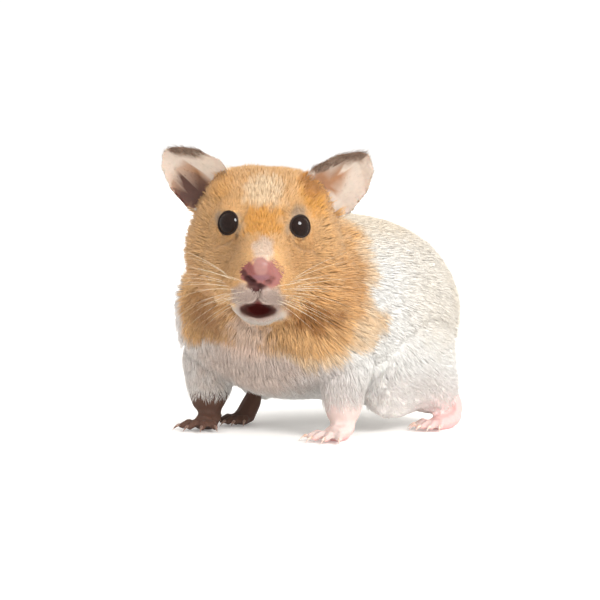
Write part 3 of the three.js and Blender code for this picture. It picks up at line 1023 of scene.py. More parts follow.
@dataclass
class Skin:
    """One skin for all the flesh, a coat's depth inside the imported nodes."""

    markings: Markings
    voxel_mm: float = 0.42
    swell_mm: float = 0.28
    smoothing: dict[str, float] = field(default_factory=lambda: {
        **{name: 0.35 for name in EARS}, **{name: 0.45 for name in FEET}, "nose": 0.6, "lower_jaw": 0.7,
    })
    smoothing_rounds: int = 50
    smoothing_blur: int = 12
    bare_depth_mm: float = 0.12
    depth_blur: int = 50
    bare_blur: int = 6
    depth_by_eye: Ease = Ease(4.0, 7.0)
    inset_steps: int = 2
    settling: tuple[int, float] = (4, 0.5)
    fine_face: tuple = ((0, -14, -8), (8, 8, 11))
    fine_eye_mm: float = 5.4
    lid_height_mm: float = 0.32
    lid_within_mm: float = 7.5
    tucked_share: float = 0.8
    lid_rim: Ease = Ease(EYE_OPENING - 4.0, EYE_OPENING + 3.0)
    lid_root: Ease = Ease(EYE_OPENING + 5.0, EYE_OPENING + 42.0)
    kept_share: float = 0.47
    kept_head: tuple = ((0, -2, -4), (28, 20, 22))
    kept_low_mm: float = 10.0
    # How much darker the skin under the fur of face and neck is made: partly the coat's darker roots,
    # partly painted shade from the fur above.
    under_fur_roots_and_shade: float = 0.18
    wrist: Ease = Ease(12.0, 8.5)
    pads: Ease = Ease(1.5, 0.4)
    paw_blur: int = 3
    ear_front: Ease = Ease(0.25, -0.15)
    ear_fringe: float = 0.85
    lip_inside: Ease = Ease(1.12, 0.98)
    mouth_inside: Ease = Ease(0.95, 0.6)
    lid_tint: Ease = Ease(EYE_OPENING + 11.0, EYE_OPENING + 5.0)
    lid_tint_within_mm: float = 4.6
    presses: tuple[Press, ...] = (
        Press((4.3, -16.0, -10.5), (3.0, 4.0, 2.8), (0.25, -0.55, 0.0)),
        Press((3.2, -18.0, -4.6), (1.5, 3.0, 1.6), (0.3, -0.5, 0.0)),
        Press((0.0, -17.5, -10.6), (0.5, 4.5, 3.0), (0.0, 0.9, 0.0)),
        Press((1.9, -18.4, -6.8), (0.8, 2.5, 0.5), (0.0, 0.9, 0.1)),
        Press((2.8, -18.2, -6.0), (0.6, 2.5, 0.5), (0.0, 0.7, 0.1)),
        Press((0.0, -18.2, -8.0), (1.8, 2.5, 0.5), (0.0, 0.7, 0.0)),
    )

    def build(self) -> bpy.types.Object:
        """Makes the skin and dresses it."""
        mesh = self.largest_body(self.union())
        surface = Surface(mesh)
        label = self.nearest_nodes(surface.points)
        weight = surface.blurred(self.by_node(label, self.smoothing, 1.0), self.smoothing_blur)
        surface.relax(self.smoothing_rounds, weight)
        self.inset(surface, label)
        surface.write()
        mesh = self.refined(mesh)
        surface = Surface(mesh)
        self.shape_face(surface)
        surface.write()
        return self.dressed(mesh)

    def union(self) -> bpy.types.Mesh:
        """The flesh and the eyes, swollen until they meet, as one closed mesh of even squares."""
        shell = bmesh.new()
        for name in [*FLESH, *EYES.values()]:
            part = bmesh.new()
            part.from_mesh(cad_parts[name].data)
            bmesh.ops.remove_doubles(part, verts=part.verts, dist=WELD)
            part.normal_update()
            for vertex in part.verts:
                vertex.co += vertex.normal * self.swell_mm * MM
            mesh = bpy.data.meshes.new("part")
            part.to_mesh(mesh)
            part.free()
            shell.from_mesh(mesh)
            bpy.data.meshes.remove(mesh)
        mesh = bpy.data.meshes.new("flesh")
        shell.to_mesh(mesh)
        shell.free()
        piece = placed("flesh", mesh)
        remesh = piece.modifiers.new("even", "REMESH")
        remesh.mode = "VOXEL"
        remesh.voxel_size = self.voxel_mm * MM
        return applied(piece)

    @staticmethod
    def largest_body(mesh: bpy.types.Mesh) -> bpy.types.Mesh:
        """Drops all but the largest connected body of the mesh."""
        surface = Surface(mesh)
        group = np.arange(len(surface.points))
        start, end = surface.edges.T
        while True:
            low = np.minimum(group[start], group[end])
            merged = group.copy()
            np.minimum.at(merged, start, low)
            np.minimum.at(merged, end, low)
            merged = merged[merged]
            if (merged == group).all():
                break
            group = merged
        keep = np.bincount(group).argmax()
        loose = np.flatnonzero(group != keep)
        if len(loose):
            body = bmesh.new()
            body.from_mesh(mesh)
            body.verts.ensure_lookup_table()
            bmesh.ops.delete(body, geom=[body.verts[i] for i in loose], context="VERTS")
            body.to_mesh(mesh)
            body.free()
        return mesh

    @staticmethod
    def nearest_nodes(points: np.ndarray) -> np.ndarray:
        """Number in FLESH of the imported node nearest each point."""
        corners, faces, owner = [], [], []
        for index, name in enumerate(FLESH):
            surface = Surface(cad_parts[name].data)
            triangles = surface.triangles() + sum(len(c) for c in corners)
            corners.append(surface.points)
            faces.append(triangles)
            owner.append(np.full(len(triangles), index))
        tree = BVHTree.FromPolygons(np.concatenate(corners).tolist(), np.concatenate(faces).tolist())
        owners = np.concatenate(owner)
        return np.array([owners[tree.find_nearest(p)[2]] for p in points.tolist()])

    @staticmethod
    def by_node(label: np.ndarray, table: dict[str, float], other: float) -> np.ndarray:
        """The table's value for each vertex's node."""
        return np.array([table.get(name, other) for name in FLESH])[label]

    def inset(self, surface: Surface, label: np.ndarray) -> None:
        """Moves the skin in by the coat's depth, which runs out on face, ears and feet."""
        local = HEAD.local_mm(surface.points)
        depth = fur_length_mm(surface.points, label) * np.sin(fur_rise(label))
        depth = surface.blurred(depth, self.depth_blur)
        bare = on(label, EARS + FEET + ["nose"])
        depth = np.where(bare, np.minimum(depth, self.bare_depth_mm), depth)
        depth = surface.blurred(depth, self.bare_blur)
        for side in SIDES:
            gap, _ = eye_polar(local, side)
            depth = depth * self.depth_by_eye(gap)
        depth = ((depth + self.swell_mm) * MM)[:, None]
        for _ in range(self.inset_steps):
            inwards = surface.blurred(surface.normals(), 2)
            surface.points = surface.points - inwards * depth / self.inset_steps
        rounds, share = self.settling
        surface.relax(rounds, np.full(len(depth), share))

    def refined(self, mesh: bpy.types.Mesh) -> bpy.types.Mesh:
        """Halves the squares of the mesh round the eyes, nose and mouth."""
        body = bmesh.new()
        body.from_mesh(mesh)
        local = HEAD.local_mm(np.array([v.co for v in body.verts]))
        near = reach_in(local, *self.fine_face) < 1.0
        for side in SIDES:
            near |= eye_polar(local, side)[0] < self.fine_eye_mm
        edges = [e for e in body.edges if near[e.verts[0].index] and near[e.verts[1].index]]
        bmesh.ops.subdivide_edges(body, edges=edges, cuts=1, use_grid_fill=True)
        bmesh.ops.triangulate(body, faces=[f for f in body.faces if len(f.verts) > 4])
        body.to_mesh(mesh)
        body.free()
        return mesh

    def shape_face(self, surface: Surface) -> None:
        """Opens the lids over the eyeballs, and shapes nose, nostrils, cleft and whisker pads."""
        local = HEAD.local_mm(surface.points)
        for press in self.presses:
            local = press.applied(local)
        local = self.markings.mouth.opened(local)
        for side in SIDES:
            local = self.lids(local, side)
        surface.points = HEAD.world(local)

    def lids(self, local: np.ndarray, side: int) -> np.ndarray:
        """Wraps the skin round one eyeball, with an opening for the eye.

        Args:
            local: The skin's points in the head's frame.
            side: 1 for the left eye, -1 for the right.

        Returns:
            The moved points.
        """
        centre = eye_centre_mm(side)
        gap, angle = eye_polar(local, side)
        lid = EYE_RADIUS_MM + self.lid_height_mm
        tucked = self.tucked_share * EYE_RADIUS_MM
        rim = tucked + (lid - tucked) * self.lid_rim(angle)
        near = (angle < self.lid_root.end) & (gap < self.lid_within_mm)
        target = rim + (np.maximum(gap, lid) - rim) * self.lid_root(angle)
        return np.where(near[:, None], centre + unit(local - centre) * target[:, None], local)

    def dressed(self, mesh: bpy.types.Mesh) -> bpy.types.Object:
        """Thins the hidden part of the skin, colours it and makes it the piece."""
        mesh = self.thinned(mesh)
        surface = Surface(mesh)
        self.label = self.nearest_nodes(surface.points)
        attribute(mesh, "marking", self.tone(surface, self.label))
        attribute(mesh, "wet", surface.blurred(self.by_node(self.label, {"nose": 1.0}, 0.0), 2))
        piece = placed("skin", smooth_shaded(mesh))
        mesh.materials.append(SkinFinish().material())
        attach(piece, ROOT)
        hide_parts(*FLESH)
        return piece

    def thinned(self, mesh: bpy.types.Mesh) -> bpy.types.Mesh:
        """Keeps the head, ears and feet dense, and thins the rest, which the coat hides."""
        piece = placed("skin_dense", mesh)
        surface = Surface(mesh)
        local = HEAD.local_mm(surface.points)
        low = surface.points[:, 2] < self.kept_low_mm * MM
        dense = (reach_in(local, *self.kept_head) < 1.0) | low
        group = piece.vertex_groups.new(name="body")
        group.add(np.flatnonzero(~dense).tolist(), 1.0, "REPLACE")
        thin = piece.modifiers.new("thin", "DECIMATE")
        thin.decimate_type = "COLLAPSE"
        thin.vertex_group = "body"
        thin.ratio = self.kept_share
        mesh = applied(piece)
        body = bmesh.new()
        body.from_mesh(mesh)
        bmesh.ops.triangulate(body, faces=body.faces)
        body.to_mesh(mesh)
        body.free()
        return mesh

    def tone(self, surface: Surface, label: np.ndarray) -> np.ndarray:
        """Colour of the skin: the coat's own markings, darker under the fur of face and neck for the coat's
        roots and painted shade, and pink where it is bare, with painted shade on the bare right feet.
        """
        points = surface.points
        local = HEAD.local_mm(points)
        height = points[:, 2] / MM
        tone = self.markings.coat(points)
        # The skin under the fur of face and neck is darkened, partly for the coat's darker roots and partly
        # as painted shade.
        tone = tone * (1.0 - self.under_fur_roots_and_shade * on(label, FACE + ["neck"]))[:, None]
        for names, leg, paw, pad in (
            (["forepaw_left", "hindfoot_left", "tail"], "foreleg_left", Tint.PAW, Tint.PAW_PAD),
            # The right feet: painted shade, dark brown skin and pads for pink feet in shadow.
            (["forepaw_right", "hindfoot_right"], "foreleg_right", Tint.SHADED_PAW, Tint.SHADED_PAD),
        ):
            bare = on(label, names).astype(float)
            wrist = on(label, [leg]) * self.wrist(height)
            tone = blended(tone, paw.linear, surface.blurred(np.maximum(bare, wrist), self.paw_blur))
            tone = blended(tone, pad.linear, bare * self.pads(height))
        ears = on(label, EARS)
        front = self.ear_front(surface.normals() @ HEAD.turn[:, 1])
        fringe = self.ear_fringe * self.markings.rims.nearness(local, ears)
        tone = blended(tone, Tint.EAR_GREY.linear, ears.astype(float))
        tone = self.markings.ears(tone, local, ears * front)
        tone = blended(tone, Tint.EAR_FRINGE.linear, fringe)
        for patch in self.markings.bare:
            tone = blended(tone, patch.tint.linear, patch.weight(local, points / MM))
        reach = self.markings.mouth.spread(local)
        tone = blended(tone, Tint.LIP_INSIDE.linear, self.lip_inside(reach))
        tone = blended(tone, Tint.MOUTH.linear, self.mouth_inside(reach))
        for side in SIDES:
            gap, angle = eye_polar(local, side)
            tone = blended(tone, Tint.LID.linear, self.lid_tint(angle) * (gap < self.lid_tint_within_mm))
        return tone


# ---------------------------------------------------------------- the eyes


@dataclass
class Eyes:
    """Two round glossy eyeballs."""

    rings: int = 40
    around: int = 56

    def build(self) -> list[bpy.types.Object]:
        """Makes both eyes."""
        finish = EyeFinish().material()
        pieces = []
        for side, name in EYES.items():
            ball = bmesh.new()
            bmesh.ops.create_uvsphere(
                ball, u_segments=self.around, v_segments=self.rings, radius=EYE_RADIUS_MM * MM
            )
            middle = HEAD.world(eye_centre_mm(side)[None])[0]
            bmesh.ops.translate(ball, verts=ball.verts, vec=Vector(middle))
            mesh = bpy.data.meshes.new(name + "_ball")
            ball.to_mesh(mesh)
            ball.free()
            piece = placed(name + "_ball", smooth_shaded(mesh))
            mesh.materials.append(finish)
            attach(piece, ROOT)
            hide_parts(name)
            pieces.append(piece)
        return pieces


# ---------------------------------------------------------------- the claws


@dataclass
class Claws:
    """Small hooked claws, one piece a foot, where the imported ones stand."""

    sides: int = 12
    cuts: int = 5
    end_share: float = 0.6
    slimness: float = 0.8
    tip_share: float = 0.06
    belly: float = 0.5
    arch: float = 0.35
    droop_mm: float = 0.45
    ground_mm: float = 0.02

    def build(self) -> list[bpy.types.Object]:
        """Makes the claws of all four feet."""
        pale = HornFinish("pale_claw", "ecd8cb", "cba896").material()
        # Painted shade: the claws of the right feet are darker, as those feet stand in shadow.
        painted_shade = HornFinish("painted_shade_claw", "a58a7c", "6f5448").material()
        pieces = []
        for foot in FEET:
            names = sorted(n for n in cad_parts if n.startswith("claw_" + foot))
            claws = bmesh.new()
            for name in names:
                self.add(claws, name)
            mesh = bpy.data.meshes.new("claws_" + foot)
            claws.to_mesh(mesh)
            claws.free()
            piece = placed("claws_" + foot, smooth_shaded(mesh))
            # The right feet take the darker claws, which are painted shade.
            mesh.materials.append(painted_shade if foot.endswith("right") else pale)
            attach(piece, ROOT)
            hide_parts(*names)
            pieces.append(piece)
        return pieces

    def add(self, claws: bmesh.types.BMesh, name: str) -> None:
        """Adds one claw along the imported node's length.

        Args:
            claws: The foot's mesh.
            name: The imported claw's node.
        """
        points = Surface(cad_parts[name].data).points
        middle = points.mean(0)
        offset = points - middle
        axis = np.linalg.svd(offset, full_matrices=False)[2][0]
        along = offset @ axis
        aside = np.linalg.norm(offset - np.outer(along, axis), axis=1)
        ahead = aside[along > self.end_share * along.max()].mean()
        behind = aside[along < self.end_share * along.min()].mean()
        axis = axis if ahead < behind else -axis
        along = offset @ axis
        length = along.max() - along.min()
        base = Vector(middle + axis * along.min())
        radius = aside.max()
        part = bmesh.new()
        bmesh.ops.create_cone(
            part,
            cap_ends=True,
            segments=self.sides,
            radius1=radius * self.slimness,
            radius2=self.tip_share * radius,
            depth=length,
        )
        for cut in range(1, self.cuts + 1):
            level = (cut / (self.cuts + 1) - 0.5) * length
            geometry = part.verts[:] + part.edges[:] + part.faces[:]
            bmesh.ops.bisect_plane(part, geom=geometry, plane_co=(0, 0, level), plane_no=(0, 0, 1))
        turn = Vector(axis).to_track_quat("Z", "Y").to_matrix()
        for vertex in part.verts:
            share = vertex.co.z / length + 0.5
            hump = math.sin(math.pi * share)
            swell = 1.0 + self.belly * hump
            straight = Vector((vertex.co.x * swell, vertex.co.y * swell, vertex.co.z + length / 2.0))
            vertex.co = turn @ straight + base
            vertex.co.z += (self.arch * hump - share**2) * self.droop_mm * MM
        for vertex in part.verts:
            vertex.co.z = max(vertex.co.z, self.ground_mm * MM)
        mesh = bpy.data.meshes.new("claw")
        part.to_mesh(mesh)
        part.free()
        claws.from_mesh(mesh)
        bpy.data.meshes.remove(mesh)


# ---------------------------------------------------------------- the whiskers


@dataclass
class Whiskers:
    """Long tapering whiskers from the pads beside the nose."""

    skin: bpy.types.Object
    rows: int = 4
    columns: int = 5
    steps: int = 9
    radius_mm: float = 0.05
    seed: int = 5
    first_mm: tuple[float, float, float] = (3.6, -17.0, -8.0)
    column_step_mm: tuple[float, float] = (0.95, 1.15)
    row_step_mm: float = 1.55
    back_lean: tuple[float, float] = (-0.1, 0.18)
    up_lean: tuple[float, float] = (0.34, 0.27)
    length_mm: tuple[float, float] = (10.0, 2.0)
    length_spread: tuple[float, float] = (0.85, 1.15)
    root_jitter_mm: float = 0.25
    lean_jitter: float = 0.08
    sag: tuple[float, float] = (0.12, 0.32)
    sweep: tuple[float, float] = (0.05, 0.2)
    rooted_mm: float = 0.3

    def build(self) -> bpy.types.Object:
        """Makes all the whiskers as one piece."""
        dice = np.random.default_rng(self.seed)
        tree = BVHTree.FromPolygons(
            [v.co for v in self.skin.data.vertices], [p.vertices for p in self.skin.data.polygons]
        )
        first, (out, back) = self.first_mm, self.column_step_mm
        paths = []
        for side in SIDES:
            for row in range(self.rows):
                for column in range(self.columns):
                    start = [
                        (first[0] + out * column) * side,
                        first[1] + back * column,
                        first[2] - self.row_step_mm * row,
                    ]
                    heading = [
                        side,
                        self.back_lean[0] + self.back_lean[1] * column,
                        self.up_lean[0] - self.up_lean[1] * row,
                    ]
                    length = self.length_mm[0] + self.length_mm[1] * column
                    paths.append(self.path(tree, start, heading, length, dice))
        mesh = strand_mesh(np.array(paths), self.radius_mm * MM)
        piece = placed("whiskers", smooth_shaded(mesh))
        mesh.name = "whiskers"
        mesh.materials.append(HornFinish("whisker", "f3e4cd", "d2bb9c", 0.45).material())
        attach(piece, ROOT)
        return piece

    def path(
        self,
        tree: BVHTree,
        start: list[float],
        heading: list[float],
        length: float,
        dice: np.random.Generator,
    ) -> np.ndarray:
        """Points along one whisker, in the model's frame.

        Args:
            tree: The skin.
            start: Rough place of the root in the head's frame.
            heading: Rough direction there.
            length: Length in millimetres.
            dice: Source of the small differences.

        Returns:
            One row a point.
        """
        jitter = dice.normal(0.0, self.root_jitter_mm, 3)
        root = np.array(tree.find_nearest(Vector(HEAD.world(np.array([start]) + jitter)[0]))[0])
        way = HEAD.turn @ unit(np.array(heading) + dice.normal(0.0, self.lean_jitter, 3))
        share = np.linspace(0.0, 1.0, self.steps)[:, None]
        reach = length * dice.uniform(*self.length_spread) * MM
        sag = np.array([0.0, 0.0, -1.0]) * dice.uniform(*self.sag)
        back = HEAD.turn[:, 1] * dice.uniform(*self.sweep)
        return root - way * self.rooted_mm * MM + reach * (way * share + (sag + back) * share**2)


STRAND_TAPER = 0.8


def strand_mesh(paths: np.ndarray, radius: float) -> bpy.types.Mesh:
    """One mesh of many closed, four-sided strands that taper to a point.

    Args:
        paths: Strands, points, places: an array of three dimensions.
        radius: Radius at the root in metres.

    Returns:
        The mesh.
    """
    count, steps, _ = paths.shape
    ahead = unit(np.gradient(paths, axis=1))
    across = unit(np.cross(ahead, [0.0, 0.0, 1.0]))
    over = np.cross(across, ahead)
    size = radius * (1.0 - STRAND_TAPER * np.linspace(0.0, 1.0, steps))[None, :, None]
    ring = [paths + across * size, paths + over * size, paths - across * size, paths - over * size]
    points = np.stack(ring, 2).reshape(-1, 3)
    quads = []
    for step in range(steps - 1):
        for corner in range(4):
            after = (corner + 1) % 4
            low, high = 4 * step, 4 * step + 4
            quads.append((low + corner, high + corner, high + after, low + after))
    last = 4 * (steps - 1)
    quads += [(0, 1, 2, 3), (last + 3, last + 2, last + 1, last)]
    faces = (np.array(quads)[None] + 4 * steps * np.arange(count)[:, None, None]).reshape(-1, 4)
    mesh = bpy.data.meshes.new("strands")
    mesh.from_pydata(points.tolist(), [], faces.tolist())
    body = bmesh.new()
    body.from_mesh(mesh)
    bmesh.ops.recalc_face_normals(body, faces=body.faces)
    body.to_mesh(mesh)
    body.free()
    return mesh


# ---------------------------------------------------------------- the coat


@dataclass
class Growth:
    """Where the tufts of one part of the coat grow, one row a tuft."""

    root: np.ndarray
    normal: np.ndarray
    label: np.ndarray


@dataclass(frozen=True)
class CoatRegion:
    """One part of the coat, made in pieces that each stay under the limit."""

    name: str
    slot: str
    nodes: tuple[str, ...]
    density: float
    width_mm: float
    root_shade: float
    pull: float


class Unwrap:
    """Part of the skin's own shape laid flat, to be read at any place on it."""

    faces_kept = 5000
    split_degrees = 66.0
    island_gap = 0.004

    def __init__(self, points: np.ndarray, faces: np.ndarray) -> None:
        """Thins the part and lays it flat.

        Args:
            points: The skin's vertices.
            faces: The part's triangles.
        """
        used, index = np.unique(faces, return_inverse=True)
        mesh = bpy.data.meshes.new("unwrap")
        mesh.from_pydata(points[used].tolist(), [], index.reshape(-1, 3).tolist())
        piece = placed("unwrap", mesh)
        thin = piece.modifiers.new("thin", "DECIMATE")
        thin.ratio = min(1.0, self.faces_kept / len(faces))
        piece = placed("unwrap", applied(piece))
        for other in bpy.context.selected_objects:
            other.select_set(False)
        piece.select_set(True)
        bpy.context.view_layer.objects.active = piece
        bpy.ops.object.mode_set(mode="EDIT")
        bpy.ops.mesh.select_all(action="SELECT")
        bpy.ops.uv.smart_project(
            angle_limit=math.radians(self.split_degrees), island_margin=self.island_gap
        )
        bpy.ops.object.mode_set(mode="OBJECT")
        mesh = piece.data
        surface = Surface(mesh)
        self.corners = surface.points[surface.triangles()]
        flat = np.zeros(len(mesh.loops) * 2, np.float32)
        mesh.uv_layers.active.data.foreach_get("uv", flat)
        loops = np.zeros(len(mesh.loop_triangles) * 3, np.int32)
        mesh.loop_triangles.foreach_get("loops", loops)
        self.flat = flat.reshape(-1, 2)[loops].reshape(-1, 3, 2).astype(float)
        numbers = np.arange(len(self.corners) * 3).reshape(-1, 3)
        self.tree = BVHTree.FromPolygons(self.corners.reshape(-1, 3).tolist(), numbers.tolist())
        bpy.data.objects.remove(piece)
        bpy.data.meshes.remove(mesh)

    def at(self, places: np.ndarray) -> np.ndarray:
        """Places on the flat sheet, 0 to 1, of places near the skin."""
        hits = [self.tree.find_nearest(p) for p in places.tolist()]
        face = np.array([hit[2] for hit in hits])
        spot = np.array([hit[0] for hit in hits])
        a, b, c = (self.corners[face, i] for i in range(3))
        whole = np.cross(b - a, c - a)
        size = np.maximum((whole * whole).sum(1), 1e-30)
        v = (np.cross(spot - a, c - a) * whole).sum(1) / size
        w = (np.cross(b - a, spot - a) * whole).sum(1) / size
        weights = np.stack([1.0 - v - w, v, w], 1)[:, :, None]
        return (self.flat[face] * weights).sum(1)


@dataclass(frozen=True)
class Lie:
    """Which way the fur lies: out from the nose, then backwards, and down the legs."""

    behind_nose_mm: tuple[float, float, float] = (0.0, 3.0, 0.0)
    backwards: tuple[float, float, float] = (0.0, 1.0, -0.42)
    to_body: Ease = Ease(22.0, 40.0)
    face_share: float = 0.35
    down_leg: Ease = Ease(34.0, 14.0)
    leg_slope: tuple[float, float, float] = (0.0, 0.35, -1.0)
    thigh_slope: tuple[float, float, float] = (0.0, 1.0, -0.6)
    thigh_side: Ease = Ease(-0.75, -0.1)
    ear: tuple[float, float, float] = (0.75, 0.1, 0.75)
    by_eye: Ease = Ease(7.0, 4.2)
    sway: float = 0.1
    wave_mm: float = 11.0
    seeds: tuple[int, ...] = (21, 22, 23)

    def at(self, points: np.ndarray, normals: np.ndarray, label: np.ndarray) -> np.ndarray:
        """Direction in which the fur lies, along the skin.

        Args:
            points: Roots.
            normals: Skin normals there.
            label: Which node each grows on.

        Returns:
            Unit vectors along the skin.
        """
        local = HEAD.local_mm(points)
        from_nose = np.linalg.norm(local - NOSE_TIP_MM, axis=1)
        spread = unit(local - (NOSE_TIP_MM + np.array(self.behind_nose_mm))) @ HEAD.turn.T
        back = np.tile(unit(np.array(self.backwards)), (len(points), 1))
        body = self.to_body(from_nose)
        body = np.where(on(label, FACE), body * self.face_share, body)[:, None]
        way = spread * (1 - body) + back * body
        down = (on(label, LEGS) * self.down_leg(points[:, 2] / MM))[:, None]
        thigh = (on(label, THIGHS) * self.thigh_side(normals[:, 1]))[:, None]
        slope = np.array(self.thigh_slope) * thigh + np.array(self.leg_slope) * (1 - thigh)
        way = way * (1 - down) + unit(slope) * down
        for name, side in zip(EARS, SIDES):
            outward = HEAD.turn @ unit(np.array(self.ear) * [side, 1, 1])
            way = np.where(on(label, [name])[:, None], outward, way)
        for side in SIDES:
            away = local - eye_centre_mm(side)
            near = self.by_eye(np.linalg.norm(away, axis=1))[:, None]
            way = way * (1 - near) + unit(away) @ HEAD.turn.T * near
        way = way + self.sway * np.stack([ripple(points / MM, self.wave_mm, s) for s in self.seeds], 1)
        way = way - normals * (way * normals).sum(1, keepdims=True)
        return unit(way)


@dataclass(frozen=True)
class Thickness:
    """How thickly fur grows: none on eyes, nose, mouth and wrists, most on the face."""

    mouth: Mouth
    rims: EarRims
    lid_edge: Ease = Ease(EYE_OPENING + 3.0, EYE_OPENING + 7.0)
    lid_within_mm: float = 6.0
    by_eye: Ease = Ease(8.0, 4.5, 1.0, 2.2)
    by_mouth: Ease = Ease(1.12, 1.4)
    nose: tuple = ((0.1, -18.2, -5.2), (5.0, 3.4, 3.8))
    nose_edge: Ease = Ease(0.85, 1.15)
    wrist: Ease = Ease(6.5, 12.0)
    in_ear: float = 0.12
    on_rim: float = 1.5
    by_nose: Ease = Ease(20.0, 6.0, 1.0, 1.6)

    def at(self, points: np.ndarray, normals: np.ndarray, label: np.ndarray) -> np.ndarray:
        """The share of a region's density.

        Args:
            points: Places on the skin.
            normals: Skin normals there.
            label: Which node each is on.

        Returns:
            One value a place.
        """
        local = HEAD.local_mm(points)
        keep = np.ones(len(points))
        for side in SIDES:
            gap, angle = eye_polar(local, side)
            keep *= np.maximum(self.lid_edge(angle), gap > self.lid_within_mm)
            keep *= self.by_eye(gap)
        keep *= self.by_mouth(self.mouth.spread(local))
        keep *= self.nose_edge(reach_in(local, *self.nose))
        keep *= np.where(on(label, FORELEGS), self.wrist(points[:, 2] / MM), 1.0)
        ears, front = on(label, EARS), normals @ HEAD.turn[:, 1] < 0.0
        in_ear = self.in_ear + self.on_rim * self.rims.nearness(local, ears)
        keep *= np.where(ears & front, in_ear, 1.0)
        return keep * self.by_nose(np.linalg.norm(local - NOSE_TIP_MM, axis=1))


TUFT_FACES = (
    (0, 2, 1), (0, 1, 4), (0, 4, 3), (1, 2, 5), (1, 5, 4),
    (2, 0, 3), (2, 3, 5), (3, 4, 6), (4, 5, 6), (5, 3, 6),
)
TUFT_ALONG = (0.0, 0.0, 0.0, 0.5, 0.5, 0.5, 1.0)
TUFT_ASIDE = (0.0, 1.0, 0.5, 0.0, 1.0, 0.5, 0.5)
TUFT_POINTS = len(TUFT_ALONG)
TUFT_WAIST = 0.85
TUFT_FLATNESS = 0.45


